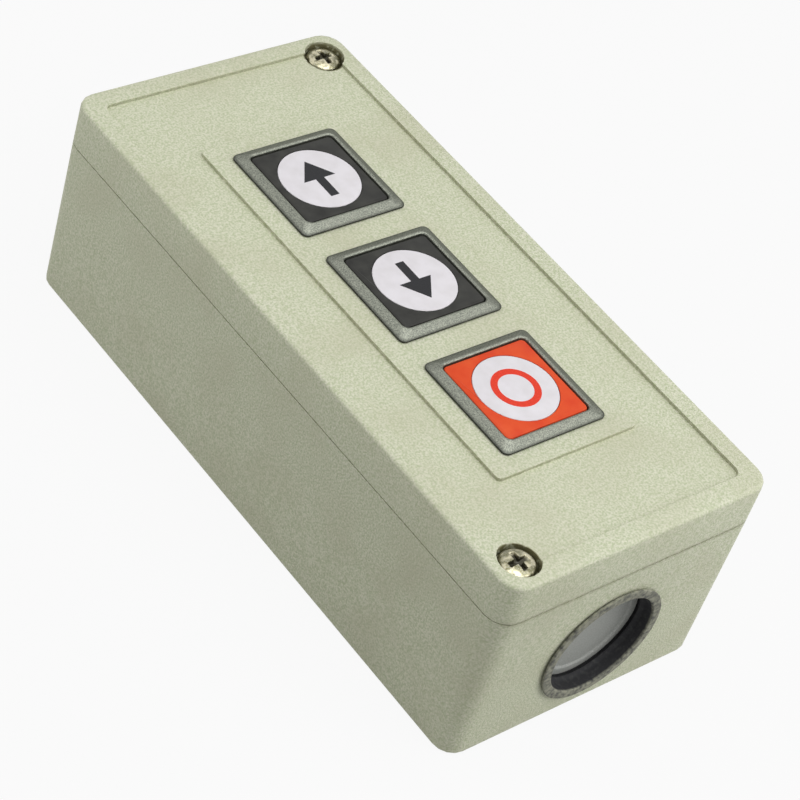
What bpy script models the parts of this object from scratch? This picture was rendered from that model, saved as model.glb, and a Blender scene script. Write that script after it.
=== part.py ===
"""Surface-mounted pushbutton control station with three square buttons.

A deep moulded base with a screwed cover, three spring-return buttons in square
bezels, and under each button a contact block screwed to the floor of the base.
Metres, +Z up. The back of the base lies on Z = 0 and is centred on X and Y.
The cable entry is in the wall at -Y, and the buttons stand in a row along Y.
"""

import math

import bmesh
import bpy
from mathutils import Matrix, Vector

MM = 0.001

# Casing
LENGTH = 140.0 * MM
WIDTH = 64.0 * MM
HEIGHT = 46.5 * MM
COVER_DEPTH = 9.6 * MM
CORNER_RADIUS = 4.5 * MM
WALL_DRAFT = 0.4 * MM
BASE_WALL = 2.6 * MM
FLOOR = 3.0 * MM
BACK_CHAMFER = 0.5 * MM
LIP_THICKNESS = 1.0 * MM
LIP_HEIGHT = 2.4 * MM
WALL_RIB_THICKNESS = 1.4 * MM
WALL_RIB_DEPTH = 1.6 * MM
WALL_RIB_DROP = 1.2 * MM
WALL_RIBS = 4
INNER_CORNER_RADIUS = 0.6 * MM

# Running and seating clearances
GAP = 0.3 * MM
TRIM_GAP = 0.2 * MM
WELD = 0.5 * MM
SLIVER = 0.1 * MM

# Cover
COVER_WALL = 2.4 * MM
COVER_PLATE = 2.5 * MM
COVER_EDGE_RADIUS = 0.8 * MM
RIM_WIDTH = 4.4 * MM
FIELD_DEPTH = 0.8 * MM
FIELD_CORNER_RADIUS = 1.8 * MM
PLINTH_HEIGHT = 0.8 * MM
PLINTH_SIDE_MARGIN = 4.5 * MM
PLINTH_END_MARGIN = 3.8 * MM
PLINTH_CORNER_RADIUS = 1.0 * MM
COVER_RIB_THICKNESS = 1.2 * MM
COVER_RIB_DEPTH = 1.6 * MM

# Cover screws and their threaded inserts
SCREW_INSET = 6.3 * MM
HEAD_RADIUS = 3.6 * MM
HEAD_HEIGHT = 2.3 * MM
HEAD_SIDE = 0.9 * MM
SHANK_RADIUS = 1.8 * MM
SCREW_LENGTH = 14.0 * MM
SCREW_POINT = 1.0 * MM
SCREW_TIP_CLEARANCE = 1.5 * MM
RECESS_REACH = 2.2 * MM
RECESS_DEPTH_IN_HEAD = 1.2 * MM
RECESS_WIDTH = 0.8 * MM
COUNTERBORE_CLEARANCE = 0.6 * MM
COUNTERBORE_DEPTH = 2.9 * MM
COLUMN_WALL = 1.6 * MM
INSERT_WALL = 0.8 * MM
INSERT_LENGTH = 7.0 * MM
INSERT_COLLAR = 2.5 * MM
INSERT_WAIST = 0.35 * MM
BOSS_WALL = 1.5 * MM

# Holes that the base is fixed through
FIXING_HOLE_RADIUS = 2.5 * MM
FIXING_COLLAR_WALL = 2.2 * MM
FIXING_COLLAR_HEIGHT = 1.6 * MM
FIXING_INSET_X = 10.5 * MM
FIXING_INSET_Y = 12.0 * MM

# Cable entry
ENTRY_BORE_RADIUS = 11.9 * MM
BUSH_WALL = 0.8 * MM
BUSH_FACE_OVERLAP = 1.2 * MM
BUSH_BACK_OVERLAP = 1.0 * MM
BUSH_FLANGE = 0.6 * MM
BUSH_EDGE = 0.35 * MM
BUSH_BACK_TAPER = 0.4 * MM
BUSH_FLOOR_CLEARANCE = 0.6 * MM
BUSH_LIP = 0.55 * MM
BUSH_LEDGE = 1.3 * MM
RECESS_DEPTH = 4.0 * MM
BLANK_THICKNESS = 1.4 * MM
BLANK_RIM_WIDTH = 1.0 * MM
BLANK_RIM_RISE = 0.4 * MM

# Buttons and bezels
BUTTON_PITCH = 31.0 * MM
TRAVEL = 4.0 * MM
CAP_SIZE = 20.0 * MM
CAP_CORNER_RADIUS = 1.0 * MM
CAP_EDGE_RADIUS = 0.5 * MM
CAP_RISE = 1.2 * MM
CAP_DEPTH = 9.0 * MM
CAP_WALL = 1.5 * MM
CAP_FLANGE = 1.2 * MM
CAP_RIB = 1.2 * MM
SOCKET_WALL = 1.4 * MM
DISC_RADIUS = 8.35 * MM
DISC_THICKNESS = 0.7 * MM
DISC_EDGE = 0.15 * MM
DISC_CLEARANCE = 0.15 * MM
BEZEL_NECK_WALL = 0.8 * MM
BEZEL_OVERLAP = 1.4 * MM
BEZEL_RISE = 1.5 * MM
BEZEL_EDGE = 0.35 * MM
BEZEL_LAND = 0.55 * MM
BEZEL_CORNER_RADIUS = 1.3 * MM
BARB_WIDTH = 6.0 * MM
BARB_REACH = 0.9 * MM

# Plunger, its clip and the return spring
STEM_RADIUS = 2.5 * MM
TIP_RADIUS = 1.85 * MM
TIP_LENGTH = 4.2 * MM
TIP_CHAMFER = 0.5 * MM
GROOVE_RADIUS = 1.8 * MM
CLIP_THICKNESS = 0.8 * MM
CLIP_DROP = 2.2 * MM
RETURN_WIRE = 0.7 * MM
RETURN_TURNS = 4.5
GUIDE_HEIGHT = 2.4 * MM
GUIDE_WALL = 0.9 * MM

# Contact block
BLOCK_WIDTH = 44.0 * MM
BLOCK_SPACING = 5.0 * MM
BLOCK_FLOOR = 2.0 * MM
BLOCK_CORNER_RADIUS = 1.0 * MM
POST_HEIGHT = 2.2 * MM
POST_RADIUS = 3.1 * MM
CHAMBER_WIDTH = 22.8 * MM
CHAMBER_WALL = 1.6 * MM
PLATFORM_RISE = 8.2 * MM
PLATFORM_WIDTH = 11.6 * MM
BARRIER_THICKNESS = 1.2 * MM
BARRIER_RISE = 3.4 * MM
GUIDE_RIB_WIDTH = 3.0 * MM
PAD_WIDTH = 4.0 * MM
LID_THICKNESS = 2.0 * MM
HOOK_WIDTH = 6.0 * MM
HOOK_THICKNESS = 1.0 * MM
HOOK_DEPTH = 4.6 * MM
HOOK_BARB = 0.8 * MM

# Carrier window, bridge and fixed contacts
CARRIER_WIDTH = 6.0 * MM
CARRIER_LENGTH = 9.0 * MM
CARRIER_CORNER_RADIUS = 0.5 * MM
WINDOW_LENGTH = 5.6 * MM
WINDOW_SILL = 1.8 * MM
CARRIER_ROOF = 1.4 * MM
BRIDGE_SHARE = 0.75
BRIDGE_LENGTH = 16.0 * MM
BRIDGE_WIDTH = 4.6 * MM
BRIDGE_THICKNESS = 0.9 * MM
RIVET_RADIUS = 1.5 * MM
RIVET_HEIGHT = 0.5 * MM
CONTACT_SPRING_LENGTH = 4.4 * MM
CONTACT_SPRING_RADIUS = 1.7 * MM
CONTACT_WIRE = 0.45 * MM
CONTACT_TURNS = 3.5
PEG_RADIUS = 1.0 * MM
PEG_HEIGHT = 0.8 * MM
STRIP_THICKNESS = 0.9 * MM
STRIP_WIDTH = 6.0 * MM
STRIP_INNER_REACH = 4.4 * MM
STRIP_LEG_SETBACK = 0.6 * MM

# Small screws of the block
TERMINAL_SHANK_RADIUS = 1.5 * MM
TERMINAL_HEAD_RADIUS = 2.9 * MM
TERMINAL_HEAD_HEIGHT = 1.9 * MM
TERMINAL_SCREW_LENGTH = 6.0 * MM
BLOCK_SHANK_RADIUS = 1.3 * MM
BLOCK_HEAD_RADIUS = 2.5 * MM
BLOCK_HEAD_HEIGHT = 1.7 * MM
BLOCK_SCREW_LENGTH = 6.0 * MM
BLOCK_SCREW_INSET = 3.4 * MM
SMALL_HEAD_TAPER = 0.3 * MM
SLOT_WIDTH = 0.8 * MM
SLOT_DEPTH = 0.8 * MM

# How finely round forms are divided
CORNER_STEPS = 4
SMALL_CORNER_STEPS = 3
TINY_CORNER_STEPS = 2
EDGE_STEPS = 3
HEAD_STEPS = 3
FINE_SEGMENTS = 32
ROUND_SEGMENTS = 20
SMALL_SEGMENTS = 10
RETURN_STEPS = 9
RETURN_SIDES = 6
CONTACT_STEPS = 8
CONTACT_SIDES = 4
FLAT_TURN = 0.6
SHARP_ANGLE = math.radians(35.0)

# Levels and places that follow from the sizes above
SEAM_LEVEL = HEIGHT - COVER_DEPTH
SHOULDER = SEAM_LEVEL - GAP / 2
SKIRT_BOTTOM = SEAM_LEVEL + GAP / 2
FIELD_LEVEL = HEIGHT - FIELD_DEPTH
PLINTH_LEVEL = FIELD_LEVEL + PLINTH_HEIGHT
PLATE_UNDERSIDE = FIELD_LEVEL - COVER_PLATE
SCREW_X = WIDTH / 2 - SCREW_INSET
SCREW_Y = LENGTH / 2 - SCREW_INSET
COUNTERBORE_RADIUS = HEAD_RADIUS + COUNTERBORE_CLEARANCE
COUNTERBORE_FLOOR = HEIGHT - COUNTERBORE_DEPTH
COLUMN_RADIUS = COUNTERBORE_RADIUS + COLUMN_WALL
SCREW_BORE_RADIUS = SHANK_RADIUS + GAP
INSERT_RADIUS = SCREW_BORE_RADIUS + INSERT_WALL
BOSS_RADIUS = INSERT_RADIUS + GAP + BOSS_WALL

CAP_TOP = PLINTH_LEVEL + CAP_RISE
CAP_BOTTOM = CAP_TOP - CAP_DEPTH
NECK_INSIDE = CAP_SIZE + 2 * GAP
NECK_OUTSIDE = NECK_INSIDE + 2 * BEZEL_NECK_WALL
BEZEL_SIZE = NECK_OUTSIDE + 2 * BEZEL_OVERLAP
WINDOW_SIZE = NECK_OUTSIDE + 2 * GAP
FLANGE_SIZE = NECK_OUTSIDE + TRIM_GAP
NECK_BOTTOM = CAP_BOTTOM + CAP_FLANGE + GAP
DISC_FLOOR = CAP_TOP - DISC_THICKNESS - GAP
CAP_HOLLOW_TOP = DISC_FLOOR - CAP_WALL
SOCKET_RADIUS = TIP_RADIUS + GAP
SHOULDER_OF_STEM = CAP_BOTTOM
TIP_TOP = SHOULDER_OF_STEM + TIP_LENGTH

BLOCK_LENGTH = BUTTON_PITCH - BLOCK_SPACING
BLOCK_BOTTOM = FLOOR + POST_HEIGHT + GAP
CHAMBER_FLOOR = BLOCK_BOTTOM + BLOCK_FLOOR
CHAMBER_OUTSIDE = CHAMBER_WIDTH + 2 * CHAMBER_WALL
CHAMBER_DEPTH = BLOCK_LENGTH - 2 * (HOOK_THICKNESS + GAP)
CARRIER_BOTTOM = CHAMBER_FLOOR + TRAVEL + GAP
WINDOW_FLOOR = CARRIER_BOTTOM + WINDOW_SILL
OPEN_BRIDGE_BOTTOM = WINDOW_FLOOR + GAP
WINDOW_TOP = OPEN_BRIDGE_BOTTOM + BRIDGE_THICKNESS + CONTACT_SPRING_LENGTH + 2 * GAP
CARRIER_TOP = WINDOW_TOP + CARRIER_ROOF
LID_BOTTOM = CARRIER_TOP + GAP
LID_TOP = LID_BOTTOM + LID_THICKNESS
CHAMBER_TOP = LID_BOTTOM - GAP
PLATFORM_TOP = CHAMBER_FLOOR + PLATFORM_RISE
BRIDGE_TRAVEL = TRAVEL * BRIDGE_SHARE
OVERTRAVEL = TRAVEL - BRIDGE_TRAVEL
CLOSED_BRIDGE_BOTTOM = WINDOW_TOP - OVERTRAVEL - GAP - BRIDGE_THICKNESS
RIVET_X = BRIDGE_LENGTH / 2 - RIVET_RADIUS - GAP
STRIP_LEVEL = PLATFORM_TOP + GAP
TERMINAL_X = (CHAMBER_OUTSIDE + BLOCK_WIDTH) / 4
BLOCK_SCREW_X = BLOCK_WIDTH / 2 - BLOCK_SCREW_INSET
BLOCK_SCREW_Y = BLOCK_LENGTH / 2 - BLOCK_SCREW_INSET

GUIDE_RADIUS = STEM_RADIUS + GAP + GUIDE_WALL
RETURN_RADIUS = GUIDE_RADIUS + GAP + RETURN_WIRE / 2
CLIP_TOP = SHOULDER_OF_STEM - CLIP_DROP
CLIP_BOTTOM = CLIP_TOP - CLIP_THICKNESS

BUSH_NECK_RADIUS = ENTRY_BORE_RADIUS + BUSH_WALL
ENTRY_HOLE_RADIUS = BUSH_NECK_RADIUS + GAP
BUSH_FACE_RADIUS = BUSH_NECK_RADIUS + BUSH_FACE_OVERLAP
BUSH_BACK_RADIUS = BUSH_NECK_RADIUS + BUSH_BACK_OVERLAP
ENTRY_HEIGHT = FLOOR + BUSH_FLOOR_CLEARANCE + BUSH_BACK_RADIUS

STATIONS = (
    ("forward", BUTTON_PITCH, "open"),
    ("reverse", 0.0, "open"),
    ("stop", -BUTTON_PITCH, "closed"),
)


# Materials: colour, roughness and metallic value of each finish


def finish(name, colour, roughness, metallic=0.0):
    """A plain finish; the colour is linear RGB."""
    material = bpy.data.materials.new(name)
    material.use_nodes = True
    shader = material.node_tree.nodes["Principled BSDF"]
    shader.inputs["Base Color"].default_value = (*colour, 1.0)
    shader.inputs["Roughness"].default_value = roughness
    shader.inputs["Metallic"].default_value = metallic
    material.diffuse_color = (*colour, 1.0)
    return material


def make_finishes():
    """All finishes of the station, by name."""
    return {
        "casing": finish("casing", (0.58, 0.58, 0.45), 0.6),
        "bezel": finish("bezel", (0.22, 0.22, 0.21), 0.4, 0.8),
        "black_cap": finish("black_cap", (0.025, 0.025, 0.028), 0.35),
        "red_cap": finish("red_cap", (0.80, 0.09, 0.02), 0.35),
        "disc": finish("disc", (0.75, 0.73, 0.74), 0.4),
        "rubber": finish("rubber", (0.02, 0.02, 0.022), 0.7),
        "blank": finish("blank", (0.20, 0.20, 0.18), 0.5),
        "plated_screw": finish("plated_screw", (0.62, 0.55, 0.36), 0.3, 1.0),
        "brass": finish("brass", (0.70, 0.50, 0.20), 0.3, 1.0),
        "copper": finish("copper", (0.75, 0.40, 0.25), 0.3, 1.0),
        "spring_steel": finish("spring_steel", (0.50, 0.50, 0.50), 0.3, 1.0),
        "natural_nylon": finish("natural_nylon", (0.75, 0.72, 0.62), 0.5),
        "phenolic": finish("phenolic", (0.04, 0.035, 0.03), 0.5),
    }


# Modelling tools shared by all pieces


def add_object(name, mesh, material=None, parent=None):
    """An object for the mesh, with its finish and the empty that it hangs on."""
    item = bpy.data.objects.new(name, mesh)
    bpy.context.collection.objects.link(item)
    if material is not None:
        mesh.materials.clear()
        mesh.materials.append(material)
    item.parent = parent
    return item


def mesh_from(form, name="form"):
    """Turns the bmesh into a mesh with its faces pointing out."""
    bmesh.ops.recalc_face_normals(form, faces=form.faces)
    mesh = bpy.data.meshes.new(name)
    form.to_mesh(mesh)
    form.free()
    return mesh


def rounded_rectangle(width, length, radius, steps=SMALL_CORNER_STEPS):
    """Outline points of a rounded rectangle, anticlockwise from its +X side."""
    points = []
    for corner, (side_x, side_y) in enumerate(((1, 1), (-1, 1), (-1, -1), (1, -1))):
        centre = Vector((side_x * (width / 2 - radius), side_y * (length / 2 - radius)))
        for step in range(steps + 1):
            angle = (corner + step / steps) * math.pi / 2
            points.append(centre + radius * Vector((math.cos(angle), math.sin(angle))))
    return points


def circle(radius, segments, centre=(0.0, 0.0)):
    """Outline points of a circle."""
    middle = Vector(centre)
    turns = [2 * math.pi * step / segments for step in range(segments)]
    return [middle + radius * Vector((math.cos(turn), math.sin(turn))) for turn in turns]


def bridged(levels, closed=False):
    """A solid through outlines of equal point count; closed makes it a hollow frame."""
    form = bmesh.new()
    rings = []
    for outline, level in levels:
        rings.append([form.verts.new((point.x, point.y, level)) for point in outline])
    pairs = list(zip(rings, rings[1:]))
    if closed:
        pairs.append((rings[-1], rings[0]))
    else:
        form.faces.new(rings[0])
        form.faces.new(rings[-1])
    for lower, upper in pairs:
        for i in range(len(lower)):
            form.faces.new((lower[i - 1], lower[i], upper[i], upper[i - 1]))
    return mesh_from(form)


def prism(outline, bottom, top):
    """A straight solid over the outline."""
    return bridged([(outline, bottom), (outline, top)])


def block(low, high):
    """A rectangular solid between two opposite corners."""
    form = bmesh.new()
    bmesh.ops.create_cube(form, size=1.0)
    low, high = Vector(low), Vector(high)
    size = high - low
    middle = (low + high) / 2
    bmesh.ops.scale(form, vec=size, verts=form.verts)
    bmesh.ops.translate(form, vec=middle, verts=form.verts)
    return mesh_from(form)


def extruded(face_points, way):
    """The flat face through the points, drawn out along the vector."""
    form = bmesh.new()
    face = form.faces.new([form.verts.new(point) for point in face_points])
    grown = bmesh.ops.extrude_face_region(form, geom=[face])
    new_points = [item for item in grown["geom"] if isinstance(item, bmesh.types.BMVert)]
    bmesh.ops.translate(form, vec=way, verts=new_points)
    return mesh_from(form)


def bar_along_y(side_view, width):
    """A bar of even width whose X-Z outline is the side view, centred on Y."""
    return extruded([(x, -width / 2, z) for x, z in side_view], (0.0, width, 0.0))


def bar_along_x(side_view, width):
    """A bar of even width whose Y-Z outline is the side view, centred on X."""
    return extruded([(-width / 2, y, z) for y, z in side_view], (width, 0.0, 0.0))


def cylinder(radius, bottom, top, centre=(0.0, 0.0), segments=ROUND_SEGMENTS):
    """An upright round solid."""
    return prism(circle(radius, segments, centre), bottom, top)


def turned(profile, segments, ring=False):
    """A solid of revolution round Z from (radius, level) points; ring closes the profile."""
    form = bmesh.new()
    points = [form.verts.new((radius, 0.0, level)) for radius, level in profile]
    edges = [form.edges.new(pair) for pair in zip(points, points[1:])]
    if ring:
        edges.append(form.edges.new((points[-1], points[0])))
    bmesh.ops.spin(
        form,
        geom=points + edges,
        axis=(0.0, 0.0, 1.0),
        cent=(0.0, 0.0, 0.0),
        angle=2 * math.pi,
        steps=segments,
        use_merge=True,
    )
    bmesh.ops.remove_doubles(form, verts=form.verts, dist=MM / 1000)
    return mesh_from(form)


def combine(body, tools, operation):
    """Joins, cuts or intersects the body's mesh with each tool mesh in turn."""
    target = add_object("target", body)
    cutters = []
    for number, tool in enumerate(tools):
        cutter = add_object(f"cutter_{number}", tool)
        cutter.hide_render = True
        cutter.display_type = "WIRE"
        modifier = target.modifiers.new(f"tool_{number}", "BOOLEAN")
        modifier.operation = operation
        modifier.solver = "EXACT"
        modifier.object = cutter
        cutters.append(cutter)
    evaluated = target.evaluated_get(bpy.context.evaluated_depsgraph_get())
    result = bpy.data.meshes.new_from_object(evaluated)
    for item in [target] + cutters:
        old_mesh = item.data
        bpy.data.objects.remove(item)
        bpy.data.meshes.remove(old_mesh)
    return result


def join(body, *tools):
    """The body with the tools added to it."""
    return combine(body, tools, "UNION")


def cut(body, *tools):
    """The body with the tools taken out of it."""
    return combine(body, tools, "DIFFERENCE")


def smooth(mesh):
    """Shades round faces smooth and keeps the mesh's edges sharp."""
    mesh.shade_smooth()
    mesh.set_sharp_from_angle(angle=SHARP_ANGLE)
    return mesh


def moved(mesh, x=0.0, y=0.0, z=0.0):
    """The same mesh, shifted."""
    mesh.transform(Matrix.Translation((x, y, z)))
    return mesh


def coil(radius, wire, bottom, top, turns, steps, sides):
    """A helical compression spring whose first and last turns lie flat."""
    low = bottom + wire / 2
    rise = top - bottom - wire
    count = int(turns * steps)
    curve = bpy.data.curves.new("coil", "CURVE")
    curve.dimensions = "3D"
    curve.bevel_depth = wire / 2
    curve.bevel_resolution = sides // 2 - 2
    curve.use_fill_caps = True
    spline = curve.splines.new("POLY")
    spline.points.add(count)
    for number, point in enumerate(spline.points):
        turn = number / steps
        share = min(max((turn - FLAT_TURN) / (turns - 2 * FLAT_TURN), 0.0), 1.0)
        angle = 2 * math.pi * turn
        x, y = radius * math.cos(angle), radius * math.sin(angle)
        creep = FLAT_TURN * wire
        flat_end = creep * (min(turn, FLAT_TURN) + max(turn - turns + FLAT_TURN, 0.0))
        height = low + flat_end + (rise - 2 * FLAT_TURN * creep) * share
        point.co = (x, y, height, 1.0)
    item = bpy.data.objects.new("coil", curve)
    bpy.context.collection.objects.link(item)
    evaluated = item.evaluated_get(bpy.context.evaluated_depsgraph_get())
    mesh = bpy.data.meshes.new_from_object(evaluated)
    bpy.data.objects.remove(item)
    bpy.data.curves.remove(curve)
    form = bmesh.new()
    form.from_mesh(mesh)
    bpy.data.meshes.remove(mesh)
    bmesh.ops.remove_doubles(form, verts=form.verts, dist=MM / 1000)
    return mesh_from(form)


# Casing: the base with its posts and bosses, and the cover


def inner_outline(inset, radius=None):
    """The casing's outline drawn in by an inset."""
    corner = max(CORNER_RADIUS - inset, INNER_CORNER_RADIUS) if radius is None else radius
    return rounded_rectangle(WIDTH - 2 * inset, LENGTH - 2 * inset, corner, CORNER_STEPS)


def make_base():
    """Deep open box with a drafted wall, a lip round its mouth, bosses, posts and holes."""
    lip_top = SHOULDER + LIP_HEIGHT
    above = lip_top + WELD
    body = bridged([
        (inner_outline(WALL_DRAFT + BACK_CHAMFER), 0.0),
        (inner_outline(WALL_DRAFT), BACK_CHAMFER),
        (inner_outline(0.0), SHOULDER),
    ])
    lip = prism(inner_outline(BASE_WALL - LIP_THICKNESS), SHOULDER - WELD, lip_top)
    cavity = prism(inner_outline(BASE_WALL), FLOOR, above)
    body = cut(join(body, lip), cavity)

    bosses = []
    holes = []
    for side in (1, -1):
        place = (side * SCREW_X, side * SCREW_Y)
        insert_floor = SHOULDER - INSERT_LENGTH - 2 * GAP
        pilot_floor = COUNTERBORE_FLOOR + GAP - SCREW_LENGTH - SCREW_TIP_CLEARANCE
        bosses.append(cylinder(BOSS_RADIUS, FLOOR - WELD, SHOULDER - SLIVER, place))
        holes.append(cylinder(COLUMN_RADIUS + GAP, SHOULDER + SLIVER, above, place))
        holes.append(cylinder(INSERT_RADIUS + GAP, insert_floor, above, place))
        holes.append(
            cylinder(SCREW_BORE_RADIUS, min(pilot_floor, insert_floor - GAP), above, place)
        )
        fixing = (-side * (WIDTH / 2 - FIXING_INSET_X), side * (LENGTH / 2 - FIXING_INSET_Y))
        collar_top = FLOOR + FIXING_COLLAR_HEIGHT
        collar_radius = FIXING_HOLE_RADIUS + FIXING_COLLAR_WALL
        bosses.append(cylinder(collar_radius, FLOOR - WELD, collar_top, fixing))
        holes.append(cylinder(FIXING_HOLE_RADIUS, -WELD, above, fixing))

    for _, station_y, _ in STATIONS:
        for side_x in (1, -1):
            for side_y in (1, -1):
                place = (side_x * BLOCK_SCREW_X, station_y + side_y * BLOCK_SCREW_Y)
                post_top = BLOCK_BOTTOM - GAP
                bosses.append(
                    cylinder(POST_RADIUS, FLOOR - WELD, post_top, place, SMALL_SEGMENTS)
                )
                if side_x == side_y:
                    pilot = BLOCK_SHANK_RADIUS + GAP
                    pilot_floor = CHAMBER_FLOOR - BLOCK_SCREW_LENGTH - GAP
                    holes.append(cylinder(pilot, pilot_floor, above, place, SMALL_SEGMENTS))

    rib_top = SHOULDER - WALL_RIB_DROP
    for rib in range(WALL_RIBS):
        rib_y = (rib - (WALL_RIBS - 1) / 2) * BUTTON_PITCH
        for side in (1, -1):
            wall = side * (WIDTH / 2 - BASE_WALL)
            inside = wall - side * WALL_RIB_DEPTH
            outside = wall + side * WELD
            low = (min(inside, outside), rib_y - WALL_RIB_THICKNESS / 2, FLOOR - WELD)
            high = (max(inside, outside), rib_y + WALL_RIB_THICKNESS / 2, rib_top)
            bosses.append(block(low, high))

    entry = cylinder(ENTRY_HOLE_RADIUS, -WELD, 2 * BASE_WALL, segments=FINE_SEGMENTS)
    entry.transform(entry_frame())
    return smooth(cut(join(body, *bosses), *holes, entry))


def entry_frame():
    """Axes of the cable entry: origin on the wall's outer face, Z into the casing."""
    lean = math.atan2(WALL_DRAFT, SHOULDER - BACK_CHAMFER)
    wall_y = -LENGTH / 2 + WALL_DRAFT * (SHOULDER - ENTRY_HEIGHT) / (SHOULDER - BACK_CHAMFER)
    turn = Matrix.Rotation(lean - math.pi / 2, 4, "X")
    return Matrix.Translation((0.0, wall_y, ENTRY_HEIGHT)) @ turn


def make_cover():
    """Shallow shell with a raised rim, a sunk field, a plinth, windows and screw columns."""
    levels = [(inner_outline(0.0), SKIRT_BOTTOM)]
    for step in range(EDGE_STEPS + 1):
        angle = step / EDGE_STEPS * math.pi / 2
        inset = COVER_EDGE_RADIUS * (1 - math.cos(angle))
        level = HEIGHT - COVER_EDGE_RADIUS * (1 - math.sin(angle))
        levels.append((inner_outline(inset, CORNER_RADIUS - inset), level))
    body = bridged(levels)
    above = max(HEIGHT, PLINTH_LEVEL) + WELD
    below = SKIRT_BOTTOM - WELD

    field = prism(inner_outline(RIM_WIDTH, FIELD_CORNER_RADIUS), FIELD_LEVEL, above)
    plinth_width = BEZEL_SIZE + 2 * PLINTH_SIDE_MARGIN
    plinth_length = 2 * BUTTON_PITCH + BEZEL_SIZE + 2 * PLINTH_END_MARGIN
    outline = rounded_rectangle(plinth_width, plinth_length, PLINTH_CORNER_RADIUS)
    plinth = prism(outline, FIELD_LEVEL - WELD, PLINTH_LEVEL)
    body = join(cut(body, field), plinth)

    cavity = prism(inner_outline(COVER_WALL), below, PLATE_UNDERSIDE)
    rebate_inset = BASE_WALL - LIP_THICKNESS - GAP
    rebate = prism(inner_outline(rebate_inset), below, SHOULDER + LIP_HEIGHT + GAP)
    body = cut(body, cavity, rebate)

    columns = []
    holes = []
    for side in (1, -1):
        place = (side * SCREW_X, side * SCREW_Y)
        columns.append(cylinder(COLUMN_RADIUS, SKIRT_BOTTOM, PLATE_UNDERSIDE + WELD, place))
        holes.append(cylinder(COUNTERBORE_RADIUS, COUNTERBORE_FLOOR, above, place))
        holes.append(cylinder(SCREW_BORE_RADIUS, below, above, place, SMALL_SEGMENTS))
    for _, station_y, _ in STATIONS:
        outline = rounded_rectangle(WINDOW_SIZE, WINDOW_SIZE, BEZEL_CORNER_RADIUS / 2)
        holes.append(moved(prism(outline, below, above), y=station_y))

    rib_bottom = PLATE_UNDERSIDE - COVER_RIB_DEPTH
    rib_top = PLATE_UNDERSIDE + WELD
    rail_x = NECK_OUTSIDE / 2 + BARB_REACH + 2 * COVER_RIB_THICKNESS
    rail_y = BUTTON_PITCH + WINDOW_SIZE / 2 + 2 * COVER_RIB_THICKNESS
    half = COVER_RIB_THICKNESS / 2
    for side in (1, -1):
        rail = side * rail_x
        columns.append(block((rail - half, -rail_y, rib_bottom), (rail + half, rail_y, rib_top)))
    for rib_y in (-BUTTON_PITCH / 2, BUTTON_PITCH / 2):
        columns.append(block((-rail_x, rib_y - half, rib_bottom), (rail_x, rib_y + half, rib_top)))
    return smooth(cut(join(body, *columns), *holes))


# Fixings


def make_cover_screw():
    """Pan-head screw with a cross recess; the underside of its head is on Z = 0."""
    profile = []
    for step in range(HEAD_STEPS + 1):
        angle = step / HEAD_STEPS * math.pi / 2
        dome = (HEAD_HEIGHT - HEAD_SIDE) * math.cos(angle)
        profile.append((HEAD_RADIUS * math.sin(angle), HEAD_SIDE + dome))
    profile += [
        (HEAD_RADIUS, 0.0),
        (SHANK_RADIUS, 0.0),
        (SHANK_RADIUS, SCREW_POINT - SCREW_LENGTH),
        (SHANK_RADIUS / 2, -SCREW_LENGTH),
        (0.0, -SCREW_LENGTH),
    ]
    body = turned(profile, ROUND_SEGMENTS)
    half = RECESS_WIDTH / 2
    top = HEAD_HEIGHT + WELD
    bottom = HEAD_HEIGHT - RECESS_DEPTH_IN_HEAD
    along = block((-RECESS_REACH, -half, bottom), (RECESS_REACH, half, top))
    across = block((-half, -RECESS_REACH, bottom), (half, RECESS_REACH, top))
    return smooth(cut(body, along, across))


def make_small_screw(shank_radius, head_radius, head_height, length):
    """Slotted cheese-head screw; the underside of its head is on Z = 0."""
    profile = [
        (0.0, head_height),
        (head_radius - SMALL_HEAD_TAPER, head_height),
        (head_radius, 0.0),
        (shank_radius, 0.0),
        (shank_radius, -length),
        (0.0, -length),
    ]
    reach = head_radius + WELD
    half = SLOT_WIDTH / 2
    low = (-reach, -half, head_height - SLOT_DEPTH)
    high = (reach, half, head_height + WELD)
    return smooth(cut(turned(profile, SMALL_SEGMENTS), block(low, high)))


def make_insert():
    """Threaded insert: a sleeve with two collars and a waist, top face on Z = 0."""
    waist = INSERT_RADIUS - INSERT_WAIST
    slope = INSERT_COLLAR + INSERT_WAIST
    profile = [
        (SCREW_BORE_RADIUS, 0.0),
        (SCREW_BORE_RADIUS, -INSERT_LENGTH),
        (INSERT_RADIUS, -INSERT_LENGTH),
        (INSERT_RADIUS, INSERT_COLLAR - INSERT_LENGTH),
        (waist, slope - INSERT_LENGTH),
        (waist, -slope),
        (INSERT_RADIUS, -INSERT_COLLAR),
        (INSERT_RADIUS, 0.0),
    ]
    return smooth(turned(profile, SMALL_SEGMENTS, ring=True))


# Cable entry: level 0 is the wall's outer face and levels rise into the casing


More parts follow.
